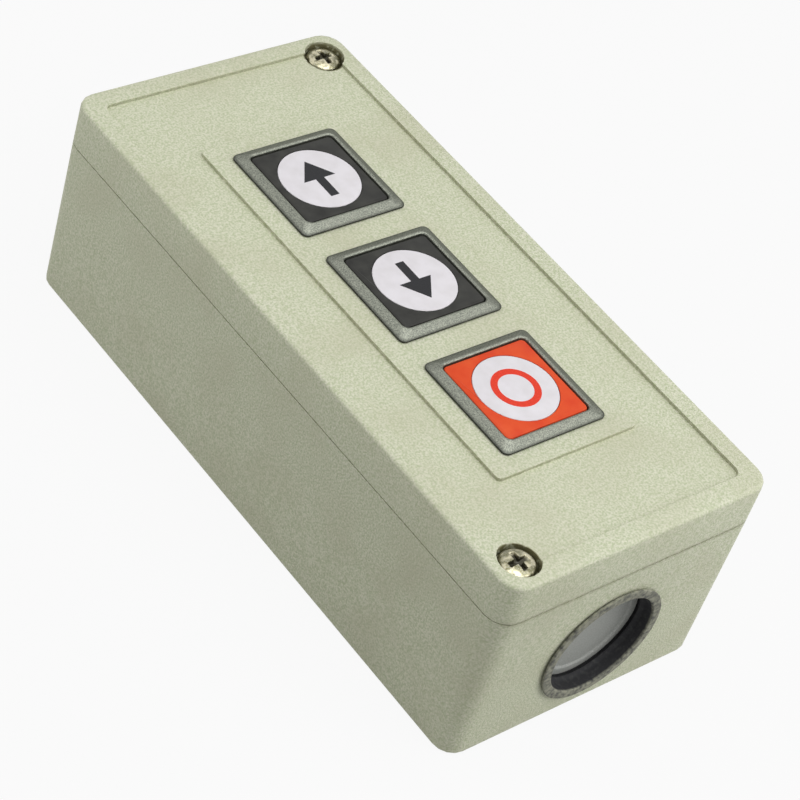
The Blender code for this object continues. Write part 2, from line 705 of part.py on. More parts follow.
def make_bush():
    """Rubber bush with a flange each side of the wall, a bore, and a seat for the blank."""
    face = -TRIM_GAP - BUSH_FLANGE
    blank_front = face + RECESS_DEPTH
    blank_back = blank_front + BLANK_THICKNESS + BLANK_RIM_RISE
    back = BASE_WALL + GAP
    end = blank_back + GAP + BUSH_LEDGE
    profile = [
        (ENTRY_BORE_RADIUS, face + BUSH_EDGE / 2),
        (ENTRY_BORE_RADIUS + BUSH_EDGE / 2, face),
        (BUSH_FACE_RADIUS - BUSH_EDGE, face),
        (BUSH_FACE_RADIUS, face + BUSH_EDGE),
        (BUSH_FACE_RADIUS, -TRIM_GAP),
        (BUSH_NECK_RADIUS, -TRIM_GAP),
        (BUSH_NECK_RADIUS, back),
        (BUSH_BACK_RADIUS, back),
        (BUSH_BACK_RADIUS - BUSH_BACK_TAPER, end),
        (ENTRY_BORE_RADIUS - BUSH_LEDGE, end),
        (ENTRY_BORE_RADIUS - BUSH_LEDGE, blank_back + GAP),
        (ENTRY_BORE_RADIUS, blank_back + GAP),
        (ENTRY_BORE_RADIUS, blank_front - GAP),
        (ENTRY_BORE_RADIUS - BUSH_LIP, blank_front - 2 * GAP),
        (ENTRY_BORE_RADIUS, blank_front - 5 * GAP),
    ]
    return smooth(turned(profile, FINE_SEGMENTS, ring=True))


def make_blank():
    """Blanking disc with a raised rim, snapped into the groove of the bush."""
    front = -TRIM_GAP - BUSH_FLANGE + RECESS_DEPTH
    web = front + BLANK_RIM_RISE
    back = web + BLANK_THICKNESS
    radius = ENTRY_BORE_RADIUS - GAP
    inner = radius - BLANK_RIM_WIDTH - BUSH_LIP
    profile = [
        (0.0, web),
        (inner - BLANK_RIM_RISE, web),
        (inner, front),
        (radius, front),
        (radius, back),
        (0.0, back),
    ]
    return smooth(turned(profile, FINE_SEGMENTS))


# Buttons: bezel, cap and legend disc


def square(size, radius):
    """Outline of a square with rounded corners."""
    return rounded_rectangle(size, size, radius)


def make_bezel():
    """Square frame with sloped sides, and a neck with two barbs below the cover's plate."""
    foot = PLINTH_LEVEL + TRIM_GAP
    top = PLINTH_LEVEL + BEZEL_RISE
    land = NECK_INSIDE + 2 * BEZEL_LAND
    inner_radius = CAP_CORNER_RADIUS + GAP
    inner = square(NECK_INSIDE, inner_radius)
    neck = square(NECK_OUTSIDE, BEZEL_CORNER_RADIUS / 2)
    body = bridged([
        (neck, NECK_BOTTOM),
        (neck, foot),
        (square(BEZEL_SIZE, BEZEL_CORNER_RADIUS), foot),
        (square(BEZEL_SIZE, BEZEL_CORNER_RADIUS), foot + BEZEL_EDGE),
        (square(land, inner_radius + BEZEL_LAND), top),
        (square(NECK_INSIDE + BEZEL_LAND / 2, inner_radius + BEZEL_LAND / 4), top),
        (inner, top - BEZEL_LAND / 2),
        (inner, NECK_BOTTOM),
    ], closed=True)
    barb_top = PLATE_UNDERSIDE - GAP
    barb_bottom = max(NECK_BOTTOM + GAP, barb_top - 2 * BARB_REACH)
    barbs = []
    for side in (1, -1):
        root = NECK_OUTSIDE / 2 - BEZEL_NECK_WALL / 2
        side_view = [
            (side * root, barb_bottom),
            (side * NECK_OUTSIDE / 2, barb_bottom),
            (side * (NECK_OUTSIDE / 2 + BARB_REACH), barb_top),
            (side * root, barb_top),
        ]
        barbs.append(bar_along_y(side_view, BARB_WIDTH))
    return smooth(join(body, *barbs))


def make_cap():
    """Square hollow cap with a seat for the legend disc, a retaining flange and a socket."""
    edge = CAP_EDGE_RADIUS
    flange = square(FLANGE_SIZE, CAP_CORNER_RADIUS)
    side = square(CAP_SIZE, CAP_CORNER_RADIUS)
    levels = [
        (flange, CAP_BOTTOM),
        (flange, CAP_BOTTOM + CAP_FLANGE),
        (side, CAP_BOTTOM + CAP_FLANGE),
    ]
    for step in range(EDGE_STEPS):
        angle = step / (EDGE_STEPS - 1) * math.pi / 2
        inset = edge * (1 - math.cos(angle))
        ring = square(CAP_SIZE - 2 * inset, CAP_CORNER_RADIUS - inset)
        levels.append((ring, CAP_TOP - edge * (1 - math.sin(angle))))
    body = bridged(levels)
    below = CAP_BOTTOM - WELD
    hollow = prism(square(CAP_SIZE - 2 * CAP_WALL, CAP_CORNER_RADIUS / 2), below, CAP_HOLLOW_TOP)
    seat_radius = DISC_RADIUS + DISC_CLEARANCE
    seat = cylinder(seat_radius, DISC_FLOOR, CAP_TOP + WELD, segments=FINE_SEGMENTS)
    body = cut(body, hollow, seat)
    rib_bottom = CAP_BOTTOM + CAP_FLANGE
    rib_top = CAP_HOLLOW_TOP + WELD
    reach = CAP_SIZE / 2 - CAP_WALL + WELD
    socket_outside = SOCKET_RADIUS + SOCKET_WALL
    socket_bottom = SHOULDER_OF_STEM + GAP
    ribs = [
        block((-reach, -CAP_RIB / 2, rib_bottom), (reach, CAP_RIB / 2, rib_top)),
        block((-CAP_RIB / 2, -reach, rib_bottom), (CAP_RIB / 2, reach, rib_top)),
        cylinder(socket_outside, socket_bottom, rib_top, segments=SMALL_SEGMENTS),
    ]
    bore = cylinder(SOCKET_RADIUS, below, TIP_TOP + GAP, segments=SMALL_SEGMENTS)
    return smooth(cut(join(body, *ribs), bore))


def make_disc():
    """Flat legend disc, flush with the top of its cap."""
    bottom = DISC_FLOOR + GAP
    profile = [
        (0.0, CAP_TOP),
        (DISC_RADIUS - DISC_EDGE, CAP_TOP),
        (DISC_RADIUS, CAP_TOP - DISC_EDGE),
        (DISC_RADIUS, bottom),
        (0.0, bottom),
    ]
    return smooth(turned(profile, FINE_SEGMENTS))


# Mechanism: plunger with its carrier, clip, return spring and contact spring


def make_plunger(kind):
    """Stem with a clip groove, and a carrier with a window that the bridge lies in."""
    groove_top = CLIP_TOP + GAP
    groove_bottom = CLIP_BOTTOM - GAP
    profile = [
        (0.0, TIP_TOP),
        (TIP_RADIUS - TIP_CHAMFER, TIP_TOP),
        (TIP_RADIUS, TIP_TOP - TIP_CHAMFER),
        (TIP_RADIUS, SHOULDER_OF_STEM),
        (STEM_RADIUS, SHOULDER_OF_STEM),
        (STEM_RADIUS, groove_top),
        (GROOVE_RADIUS, groove_top),
        (GROOVE_RADIUS, groove_bottom),
        (STEM_RADIUS, groove_bottom),
        (STEM_RADIUS, CARRIER_TOP - WELD),
        (0.0, CARRIER_TOP - WELD),
    ]
    outline = rounded_rectangle(
        CARRIER_WIDTH, CARRIER_LENGTH, CARRIER_CORNER_RADIUS, TINY_CORNER_STEPS
    )
    carrier = prism(outline, CARRIER_BOTTOM, CARRIER_TOP)
    side = CARRIER_WIDTH / 2 + WELD
    low = (-side, -WINDOW_LENGTH / 2, WINDOW_FLOOR)
    high = (side, WINDOW_LENGTH / 2, WINDOW_TOP)
    body = cut(join(turned(profile, SMALL_SEGMENTS), carrier), block(low, high))
    if kind == "open":
        peg_bottom, peg_top = WINDOW_TOP - PEG_HEIGHT, WINDOW_TOP + WELD
    else:
        peg_bottom, peg_top = WINDOW_FLOOR - WELD, WINDOW_FLOOR + PEG_HEIGHT
    return smooth(join(body, cylinder(PEG_RADIUS, peg_bottom, peg_top, segments=SMALL_SEGMENTS)))


def make_clip():
    """Open washer in the stem's groove, which the return spring pushes up against."""
    inside = GROOVE_RADIUS + GAP
    outside = RETURN_RADIUS + RETURN_WIRE
    profile = [
        (inside, CLIP_TOP),
        (inside, CLIP_BOTTOM),
        (outside, CLIP_BOTTOM),
        (outside, CLIP_TOP),
    ]
    ring = turned(profile, SMALL_SEGMENTS, ring=True)
    half = GROOVE_RADIUS + GAP / 2
    low = (0.0, -half, CLIP_BOTTOM - WELD)
    high = (2 * outside, half, CLIP_TOP + WELD)
    return smooth(cut(ring, block(low, high)))


def make_return_spring():
    """Compression spring between the block's lid and the clip."""
    bottom, top = LID_TOP + GAP, CLIP_BOTTOM - GAP
    return smooth(coil(RETURN_RADIUS, RETURN_WIRE, bottom, top, RETURN_TURNS, RETURN_STEPS,
                       RETURN_SIDES))


def bridge_bottom(kind):
    """Level of the bridge's underside at rest: low with open contacts, high with closed."""
    return OPEN_BRIDGE_BOTTOM if kind == "open" else CLOSED_BRIDGE_BOTTOM


def make_contact_spring(kind):
    """Small spring in the carrier's window: above an open bridge, below a closed one."""
    if kind == "open":
        bottom = bridge_bottom(kind) + BRIDGE_THICKNESS + GAP
        top = WINDOW_TOP - GAP
    else:
        bottom = WINDOW_FLOOR + GAP
        top = bridge_bottom(kind) - GAP
    return smooth(coil(CONTACT_SPRING_RADIUS, CONTACT_WIRE, bottom, top, CONTACT_TURNS,
                       CONTACT_STEPS, CONTACT_SIDES))


def make_bridge(kind):
    """Copper contact bridge with a rivet at each end, facing the fixed contacts."""
    bottom = bridge_bottom(kind)
    top = bottom + BRIDGE_THICKNESS
    outline = rounded_rectangle(
        BRIDGE_LENGTH, BRIDGE_WIDTH, CARRIER_CORNER_RADIUS, TINY_CORNER_STEPS
    )
    body = prism(outline, bottom, top)
    if kind == "open":
        low, high = bottom - RIVET_HEIGHT, top - GAP
    else:
        low, high = bottom + GAP, top + RIVET_HEIGHT
    rivets = []
    for side in (1, -1):
        rivets.append(cylinder(RIVET_RADIUS, low, high, (side * RIVET_X, 0.0), SMALL_SEGMENTS))
    return smooth(join(body, *rivets))


# Contact block: body, lid, fixed contacts


def inner_strip_level(kind):
    """Underside of a fixed contact's inner end, so that its rivet meets the bridge's."""
    bottom = bridge_bottom(kind)
    if kind == "open":
        rivet_top = bottom - RIVET_HEIGHT - BRIDGE_TRAVEL - GAP
        return rivet_top - RIVET_HEIGHT - STRIP_THICKNESS
    return bottom + BRIDGE_THICKNESS + 2 * RIVET_HEIGHT + GAP


def make_terminal(kind):
    """Bent brass strip from the terminal screw to the fixed contact, for the +X side."""
    inner = inner_strip_level(kind)
    outer = STRIP_LEVEL
    inner_top, outer_top = inner + STRIP_THICKNESS, outer + STRIP_THICKNESS
    leg_outside = CHAMBER_WIDTH / 2 - STRIP_LEG_SETBACK
    leg_inside = leg_outside - STRIP_THICKNESS
    end = BLOCK_WIDTH / 2 - GAP
    if kind == "open":
        side_view = [
            (STRIP_INNER_REACH, inner),
            (leg_outside, inner),
            (leg_outside, outer),
            (end, outer),
            (end, outer_top),
            (leg_inside, outer_top),
            (leg_inside, inner_top),
            (STRIP_INNER_REACH, inner_top),
        ]
    else:
        side_view = [
            (STRIP_INNER_REACH, inner),
            (leg_inside, inner),
            (leg_inside, outer),
            (end, outer),
            (end, outer_top),
            (leg_outside, outer_top),
            (leg_outside, inner_top),
            (STRIP_INNER_REACH, inner_top),
        ]
    body = bar_along_y(side_view, STRIP_WIDTH)
    if kind == "open":
        low, high = inner + GAP, inner_top + RIVET_HEIGHT
    else:
        low, high = inner - RIVET_HEIGHT, inner_top - GAP
    rivet = cylinder(RIVET_RADIUS, low, high, (RIVET_X, 0.0), SMALL_SEGMENTS)
    hole_place = (TERMINAL_X, 0.0)
    hole_radius = TERMINAL_SHANK_RADIUS + GAP
    hole = cylinder(hole_radius, outer - WELD, outer_top + WELD, hole_place, SMALL_SEGMENTS)
    return smooth(cut(join(body, rivet), hole))


def make_block_body():
    """Phenolic body: a chamber for the carrier, and a platform with barriers at each end."""
    half_width = BLOCK_WIDTH / 2
    outside = CHAMBER_OUTSIDE / 2
    half_length = CHAMBER_DEPTH / 2
    outline = rounded_rectangle(
        BLOCK_WIDTH, BLOCK_LENGTH, BLOCK_CORNER_RADIUS, TINY_CORNER_STEPS
    )
    body = prism(outline, BLOCK_BOTTOM, CHAMBER_FLOOR)
    root = BLOCK_BOTTOM + BLOCK_FLOOR / 2
    solids = [block((-outside, -half_length, root), (outside, half_length, CHAMBER_TOP))]
    cuts = []
    platform = PLATFORM_WIDTH / 2
    barrier_top = PLATFORM_TOP + BARRIER_RISE
    end = half_width - GAP
    slot = STRIP_WIDTH / 2 + GAP
    for side in (1, -1):
        near, far = sorted((side * (outside - WELD), side * end))
        solids.append(block((near, -platform, root), (far, platform, PLATFORM_TOP)))
        for hand in (1, -1):
            low_y, high_y = sorted((hand * (platform - BARRIER_THICKNESS), hand * platform))
            solids.append(block((near, low_y, PLATFORM_TOP - WELD), (far, high_y, barrier_top)))
        inner, outer = sorted((side * (outside - CHAMBER_WALL - WELD), side * (outside + GAP)))
        cuts.append(block((inner, -slot, PLATFORM_TOP), (outer, slot, CHAMBER_TOP + WELD)))
        place = (side * TERMINAL_X, 0.0)
        hole_floor = STRIP_LEVEL + STRIP_THICKNESS - TERMINAL_SCREW_LENGTH
        hole_radius = TERMINAL_SHANK_RADIUS + GAP
        cuts.append(cylinder(hole_radius, hole_floor, CHAMBER_TOP, place, SMALL_SEGMENTS))
        fixing = (side * BLOCK_SCREW_X, side * BLOCK_SCREW_Y)
        fixing_radius = BLOCK_SHANK_RADIUS + GAP
        cuts.append(
            cylinder(fixing_radius, BLOCK_BOTTOM - WELD, CHAMBER_TOP, fixing, SMALL_SEGMENTS)
        )
        hook = HOOK_WIDTH / 2 + GAP
        pocket_top = LID_BOTTOM - HOOK_DEPTH + HOOK_BARB + 2 * GAP
        pocket_bottom = LID_BOTTOM - HOOK_DEPTH - GAP
        deep, proud = sorted((side * (half_length - HOOK_BARB), side * (half_length + WELD)))
        cuts.append(block((-hook, deep, pocket_bottom), (hook, proud, pocket_top)))

    chamber = half_length - CHAMBER_WALL
    chamber_low = (-CHAMBER_WIDTH / 2, -chamber, CHAMBER_FLOOR)
    chamber_high = (CHAMBER_WIDTH / 2, chamber, CHAMBER_TOP + WELD)
    body = cut(join(body, *solids), block(chamber_low, chamber_high), *cuts)

    guides = []
    pad_top = inner_strip_level("open") - GAP
    for side in (1, -1):
        inner, outer = sorted((side * (CARRIER_LENGTH / 2 + GAP), side * (chamber + WELD)))
        low = (-GUIDE_RIB_WIDTH / 2, inner, CHAMBER_FLOOR - WELD)
        high = (GUIDE_RIB_WIDTH / 2, outer, CHAMBER_TOP - GAP)
        guides.append(block(low, high))
        near, far = sorted((side * STRIP_INNER_REACH, side * (CHAMBER_WIDTH / 2 + WELD)))
        low = (near, -PAD_WIDTH / 2, CHAMBER_FLOOR - WELD)
        high = (far, PAD_WIDTH / 2, pad_top)
        guides.append(block(low, high))
    return smooth(join(body, *guides))


def make_lid():
    """Chamber lid with a guide for the stem and two hooks clipped to the body."""
    outside = CHAMBER_OUTSIDE / 2
    half_length = CHAMBER_DEPTH / 2
    body = block((-outside, -half_length, LID_BOTTOM), (outside, half_length, LID_TOP))
    solids = [cylinder(GUIDE_RADIUS, LID_TOP - WELD, LID_TOP + GUIDE_HEIGHT)]
    leg_bottom = LID_BOTTOM - HOOK_DEPTH
    leg_top = LID_TOP - GAP
    for side in (1, -1):
        inner, outer = half_length + GAP, half_length + HOOK_THICKNESS
        barb = half_length + GAP - HOOK_BARB
        side_view = [
            (side * (half_length - WELD), leg_top),
            (side * (half_length - WELD), LID_BOTTOM + GAP),
            (side * inner, LID_BOTTOM + GAP),
            (side * inner, leg_bottom + HOOK_BARB),
            (side * barb, leg_bottom + HOOK_BARB),
            (side * barb, leg_bottom + HOOK_BARB / 2),
            (side * inner, leg_bottom),
            (side * outer, leg_bottom),
            (side * outer, leg_top),
        ]
        solids.append(bar_along_x(side_view, HOOK_WIDTH))
    bore_top = LID_TOP + GUIDE_HEIGHT + WELD
    bore = cylinder(STEM_RADIUS + GAP, LID_BOTTOM - WELD, bore_top)
    return smooth(cut(join(body, *solids), bore))


# Assembly


def place_piece(name, mesh, material, parent=None, location=(0.0, 0.0, 0.0), turn=0.0):
    """A named piece at its place; turn is a rotation about Z."""
    mesh.name = name
    item = add_object(name, mesh, material, parent)
    item.location = location
    item.rotation_euler.z = turn
    return item


def add_empty(name, location):
    """A bare empty that carries pieces on one axis."""
    empty = bpy.data.objects.new(name, None)
    empty.empty_display_size = HEIGHT / 4
    empty.location = location
    bpy.context.collection.objects.link(empty)
    return empty


def copy_piece(source, name, parent=None, location=None, turn=None):
    """A second piece that shares the first one's mesh."""
    item = bpy.data.objects.new(name, source.data)
    bpy.context.collection.objects.link(item)
    item.parent = parent
    item.location = source.location if location is None else location
    item.rotation_euler.z = source.rotation_euler.z if turn is None else turn
    return item


def build_casing(finishes):
    """Base, cover, cover screws, inserts and cable entry."""
    place_piece("base_housing", make_base(), finishes["casing"])
    place_piece("cover", make_cover(), finishes["casing"])
    ends = (("far", 1), ("near", -1))
    screw_level = COUNTERBORE_FLOOR + GAP
    insert_level = SHOULDER - GAP
    first_screw = None
    first_insert = None
    for end_name, side in ends:
        screw_place = (side * SCREW_X, side * SCREW_Y, screw_level)
        insert_place = (side * SCREW_X, side * SCREW_Y, insert_level)
        if first_screw is None:
            first_screw = place_piece(
                f"cover_screw_{end_name}",
                make_cover_screw(),
                finishes["plated_screw"],
                location=screw_place,
            )
            first_insert = place_piece(
                f"insert_{end_name}", make_insert(), finishes["brass"], location=insert_place
            )
        else:
            copy_piece(first_screw, f"cover_screw_{end_name}", location=screw_place)
            copy_piece(first_insert, f"insert_{end_name}", location=insert_place)

    entry = add_empty("entry_axis", (0.0, 0.0, 0.0))
    entry.matrix_world = entry_frame()
    place_piece("entry_bush", make_bush(), finishes["rubber"], entry)
    place_piece("entry_blank", make_blank(), finishes["blank"], entry)


def build_station(name, station_y, kind, finishes, shared):
    """One button with its bezel, plunger, springs and contact block."""
    axis = add_empty(f"axis_{name}", (0.0, station_y, 0.0))

    def add(piece, key, maker, material, location=(0.0, 0.0, 0.0), turn=0.0):
        if key in shared:
            copy_piece(shared[key], piece, axis, location, turn)
        else:
            shared[key] = place_piece(piece, maker(), finishes[material], axis, location, turn)

    cap_colour = "red_cap" if kind == "closed" else "black_cap"
    add(f"bezel_{name}", "bezel", make_bezel, "bezel")
    add(f"button_{name}", f"cap_{cap_colour}", make_cap, cap_colour)
    add(f"legend_disc_{name}", "disc", make_disc, "disc")
    add(f"plunger_{name}", f"plunger_{kind}", lambda: make_plunger(kind), "natural_nylon")
    add(f"spring_clip_{name}", "clip", make_clip, "spring_steel")
    add(f"return_spring_{name}", "return_spring", make_return_spring, "spring_steel")
    add(f"block_body_{name}", "block_body", make_block_body, "phenolic")
    add(f"block_lid_{name}", "lid", make_lid, "phenolic")
    add(f"contact_bridge_{name}", f"bridge_{kind}", lambda: make_bridge(kind), "copper")
    spring_key = f"contact_spring_{kind}"
    add(f"contact_spring_{name}", spring_key, lambda: make_contact_spring(kind), "spring_steel")

    screw_level = STRIP_LEVEL + STRIP_THICKNESS + GAP
    for side_name, side, turn in (("right", 1, 0.0), ("left", -1, math.pi)):
        terminal_key = f"terminal_{kind}"
        terminal_name = f"terminal_{name}_{side_name}"
        add(terminal_name, terminal_key, lambda: make_terminal(kind), "brass", turn=turn)
        add(
            f"terminal_screw_{name}_{side_name}",
            "terminal_screw",
            lambda: make_small_screw(
                TERMINAL_SHANK_RADIUS,
                TERMINAL_HEAD_RADIUS,
                TERMINAL_HEAD_HEIGHT,
                TERMINAL_SCREW_LENGTH - 2 * GAP,
            ),
            "plated_screw",
            (side * TERMINAL_X, 0.0, screw_level),
        )
        add(
            f"block_screw_{name}_{side_name}",
            "block_screw",
            lambda: make_small_screw(
                BLOCK_SHANK_RADIUS,
                BLOCK_HEAD_RADIUS,
                BLOCK_HEAD_HEIGHT,
                BLOCK_SCREW_LENGTH,
            ),
            "plated_screw",
            (side * BLOCK_SCREW_X, side * BLOCK_SCREW_Y, CHAMBER_FLOOR + GAP),
        )


def build():
    """Clears the scene and builds the whole station."""
    for item in list(bpy.data.objects):
        bpy.data.objects.remove(item, do_unlink=True)
    finishes = make_finishes()
    build_casing(finishes)
    shared = {}
    for name, station_y, kind in STATIONS:
        build_station(name, station_y, kind, finishes, shared)


build()
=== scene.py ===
import math

import bmesh
import bpy
import numpy as np
from mathutils import Matrix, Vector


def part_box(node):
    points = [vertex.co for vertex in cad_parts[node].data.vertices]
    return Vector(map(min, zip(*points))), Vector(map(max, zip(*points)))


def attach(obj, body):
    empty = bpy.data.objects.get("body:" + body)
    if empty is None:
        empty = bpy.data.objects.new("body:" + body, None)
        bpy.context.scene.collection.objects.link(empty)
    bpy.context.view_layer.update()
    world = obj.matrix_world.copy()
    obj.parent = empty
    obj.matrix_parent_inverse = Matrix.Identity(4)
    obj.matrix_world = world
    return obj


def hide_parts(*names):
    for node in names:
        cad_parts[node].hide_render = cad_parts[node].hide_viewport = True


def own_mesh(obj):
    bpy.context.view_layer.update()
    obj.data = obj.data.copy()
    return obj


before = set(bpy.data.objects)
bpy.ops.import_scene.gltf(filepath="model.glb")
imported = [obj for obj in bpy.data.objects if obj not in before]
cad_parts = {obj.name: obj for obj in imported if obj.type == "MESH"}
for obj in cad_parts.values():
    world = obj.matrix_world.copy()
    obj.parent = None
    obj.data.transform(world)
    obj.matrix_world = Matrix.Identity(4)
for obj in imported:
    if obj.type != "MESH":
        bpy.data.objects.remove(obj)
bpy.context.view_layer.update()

MM = 0.001

# Camera
# It stands off the left-hand corner of the cable-entry end, well above the lid, and is
# rolled, so that the long side of the casing runs down the picture from left to right.

camera_place = (-0.2999, -0.2501, 0.3710)
camera_turn = (46.206, -14.196, -37.642)
camera_lens = 121.17
camera_near_limit = 10 * MM

camera_data = bpy.data.cameras.new("camera")
camera_data.lens = camera_lens
camera_data.clip_start = camera_near_limit
camera = bpy.data.objects.new("camera", camera_data)
camera.location = camera_place
camera.rotation_euler = [math.radians(turn) for turn in camera_turn]
bpy.context.scene.collection.objects.link(camera)
bpy.context.scene.camera = camera
bpy.context.scene.view_settings.view_transform = "Standard"


# Casing
# A deep box and its shallow cover, both moulded in one olive-cream plastic with a fine
# spark-eroded grain. The cover sits on a lip of the box and is held by two screws.


class Amount:
    """A number or a colour that varies over a surface; arithmetic on numbers adds Math
    nodes."""

    def __init__(self, nodes, socket):
        self.nodes = nodes
        self.socket = socket

    def __add__(self, other):
        return self.nodes.math("ADD", self, other)

    __radd__ = __add__

    def __sub__(self, other):
        return self.nodes.math("SUBTRACT", self, other)

    def __rsub__(self, other):
        return self.nodes.math("SUBTRACT", other, self)

    def __mul__(self, other):
        return self.nodes.math("MULTIPLY", self, other)

    __rmul__ = __mul__

    def __abs__(self):
        return self.nodes.math("ABSOLUTE", self)

    def larger(self, other):
        """The larger of two amounts."""
        return self.nodes.math("MAXIMUM", self, other)

    def spread(self, low, high):
        """The amount stretched so that low becomes 0 and high becomes 1, and held there."""
        sockets = {"Value": self, "From Min": low, "From Max": high}
        return self.nodes.node("ShaderNodeMapRange", {"clamp": True}, sockets)


class Nodes:
    """A node tree that grows by calls; each call gives the amount on one output."""

    def __init__(self, tree):
        self.tree = tree

    def node(self, kind, settings=(), sockets=(), output=0):
        """Adds a node of one type, with its settings, then its sockets' values or links."""
        node = self.tree.nodes.new(kind)
        for key, value in dict(settings).items():
            setattr(node, key, value)
        for key, value in dict(sockets).items():
            self.feed(node.inputs[key], value)
        return Amount(self, node.outputs[output])

    def feed(self, socket, value):
        """Links an amount to the socket, or sets a plain value on it."""
        if isinstance(value, Amount):
            self.tree.links.new(value.socket, socket)
        else:
            socket.default_value = value

    def math(self, operation, *values):
        """The result of one Math node on amounts and plain numbers."""
        return self.node("ShaderNodeMath", {"operation": operation}, enumerate(values))


class Finish(Nodes):
    """A material built node by node round one Principled shader."""

    def __init__(self, name, metallic=0.0, specular=0.5, coat=0.0):
        self.material = bpy.data.materials.new(name)
        self.material.use_nodes = True
        super().__init__(self.material.node_tree)
        self.shader = self.tree.nodes["Principled BSDF"]
        self.shader.inputs["Metallic"].default_value = metallic
        self.shader.inputs["Specular IOR Level"].default_value = specular
        self.shader.inputs["Coat Weight"].default_value = coat
        self.place = self.node("ShaderNodeTexCoord", output="Object")

    def along(self, axis):
        """The object coordinate along one axis, "X", "Y" or "Z"."""
        return self.node("ShaderNodeSeparateXYZ", sockets={0: self.place}, output=axis)

    def noise(self, size, detail=2.0, place=None):
        """Soft blotches of about the given size, around 0.5."""
        sockets = {"Vector": place or self.place, "Scale": 1 / size, "Detail": detail}
        return self.node("ShaderNodeTexNoise", sockets=sockets)

    def stretched(self, x, y, z):
        """Object coordinates scaled by a factor along each axis, for drawn-out patterns."""
        return self.node("ShaderNodeMapping", sockets={"Vector": self.place, "Scale": (x, y, z)})

    def mixed(self, share, first, second):
        """The first colour where share is 0, and the second where it is 1. Sockets 6 and 7
        and output 2 are the ones that a Mix node uses for colours."""
        sockets = {0: share}
        for key, colour in ((6, first), (7, second)):
            sockets[key] = colour if isinstance(colour, Amount) else (*colour, 1.0)
        return self.node("ShaderNodeMix", {"data_type": "RGBA"}, sockets, output=2)

    def surface(self, colour, roughness, height=None, strength=0.2, depth=0.05 * MM):
        """Feeds the shader its colour, its roughness and a bump from a height."""
        self.feed(self.shader.inputs["Base Color"], colour)
        self.feed(self.shader.inputs["Roughness"], roughness)
        if height is not None:
            sockets = {"Strength": strength, "Distance": depth, "Height": height}
            self.feed(self.shader.inputs["Normal"], self.node("ShaderNodeBump", sockets=sockets))


joining_distance = MM / 1000
sharp_angle = math.radians(35)


def smooth_group():
    """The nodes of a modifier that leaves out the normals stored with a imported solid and
    makes its faces smooth, so that its mesh can stay as it is."""
    group = bpy.data.node_groups.new("smooth_faces", "GeometryNodeTree")
    for way in ("INPUT", "OUTPUT"):
        group.interface.new_socket("Geometry", in_out=way, socket_type="NodeSocketGeometry")
    nodes = Nodes(group)
    packed = nodes.node("NodeGroupInput")
    sockets = {"Geometry": packed, "Name": "custom_normal"}
    bare = nodes.node("GeometryNodeRemoveAttribute", sockets=sockets)
    smooth = nodes.node("GeometryNodeSetShadeSmooth", sockets={"Geometry": bare})
    nodes.feed(group.nodes.new("NodeGroupOutput").inputs["Geometry"], smooth)
    return group


smooth_faces = smooth_group()


def dress(node_name, finish, edge):
    """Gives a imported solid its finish. Modifiers make it smooth, join its loose triangles
    and round its edges."""
    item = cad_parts[node_name]
    item.material_slots[0].material = finish.material
    item.modifiers.new("smooth faces", "NODES").node_group = smooth_faces
    weld = item.modifiers.new("joined triangles", "WELD")
    weld.merge_threshold = joining_distance
    bevel = item.modifiers.new("rounded edges", "BEVEL")
    bevel.width = edge
    bevel.segments = 2
    bevel.limit_method = "ANGLE"
    bevel.angle_limit = sharp_angle
    bevel.harden_normals = True


def upright(node_name):
    """The middle, the half width, the foot and the top of a node's box."""
    low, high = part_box(node_name)
    middle = ((low.x + high.x) / 2, (low.y + high.y) / 2)
    return middle, (high.x - low.x) / 2, low.z, high.z


casing_edge = 0.10 * MM
counterbore_play = 0.6 * MM
counterbore_fade = (0.05 * MM, 0.3 * MM)
step_height = 0.8 * MM
step_inset = 2.5 * MM
step_foot_fade = 0.1 * MM
step_top_fade = 0.3 * MM
step_side_fade = 0.2 * MM
cover_depth = 9.6 * MM
seam_fade = (0.25 * MM, 0.85 * MM)
seam_corners = (-69.4 * MM, -68.0 * MM)

casing_olive = (0.474, 0.518, 0.338)
casing_cream = (0.688, 0.688, 0.545)
casing_stain = (0.50, 0.49, 0.35)
# Dark olive for painted shade in the counterbores and at the steps, and for the darker line along
# the seam.
shade_and_seam_olive = (0.105, 0.092, 0.028)

cover_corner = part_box("cover")[1]
cover_top = cover_corner.z
seam_level = cover_top - cover_depth


def in_counterbore(finish, end_name):
    """The wall of a screw's counterbore, for painted shade: the area round the screw's axis, cut
    off just outside the wall, times a ramp from 0 at the cover's rim to 1 one step lower."""
    middle, head_radius, *_ = upright(f"cover_screw_{end_name}")
    wall = head_radius + counterbore_play
    edges = (wall + fade for fade in counterbore_fade)
    sockets = {0: finish.stretched(1.0, 1.0, 0.0), 1: (*middle, 0.0)}
    away = finish.node("ShaderNodeVectorMath", {"operation": "DISTANCE"}, sockets, "Value")
    inside = 1.0 - away.spread(*edges)
    return inside * (1.0 - finish.along("Z").spread(cover_top - step_height, cover_top))


def at_steps(finish):
    """The low steps round the sunk field and the plinth, for painted shade: a band between the two
    levels, cut off inside the cover's outer edge, which gets none."""
    level = finish.along("Z")
    foot = cover_top - step_height
    wall = level.spread(foot, foot + step_foot_fade)
    wall = wall * (1.0 - level.spread(cover_top - step_top_fade, cover_top))
    for axis, outside in (("X", cover_corner.x), ("Y", cover_corner.y)):
        limit = outside - step_inset
        wall = wall * (1.0 - abs(finish.along(axis)).spread(limit - step_side_fade, limit))
    return wall


def at_seam(finish):
    """The seam on the cable-entry end: a soft line at the seam's level that fades out
    round the corners."""
    from_seam = abs(finish.along("Z") - seam_level)
    line = 1.0 - from_seam.spread(*seam_fade)
    return line * (1.0 - finish.along("Y").spread(*seam_corners))


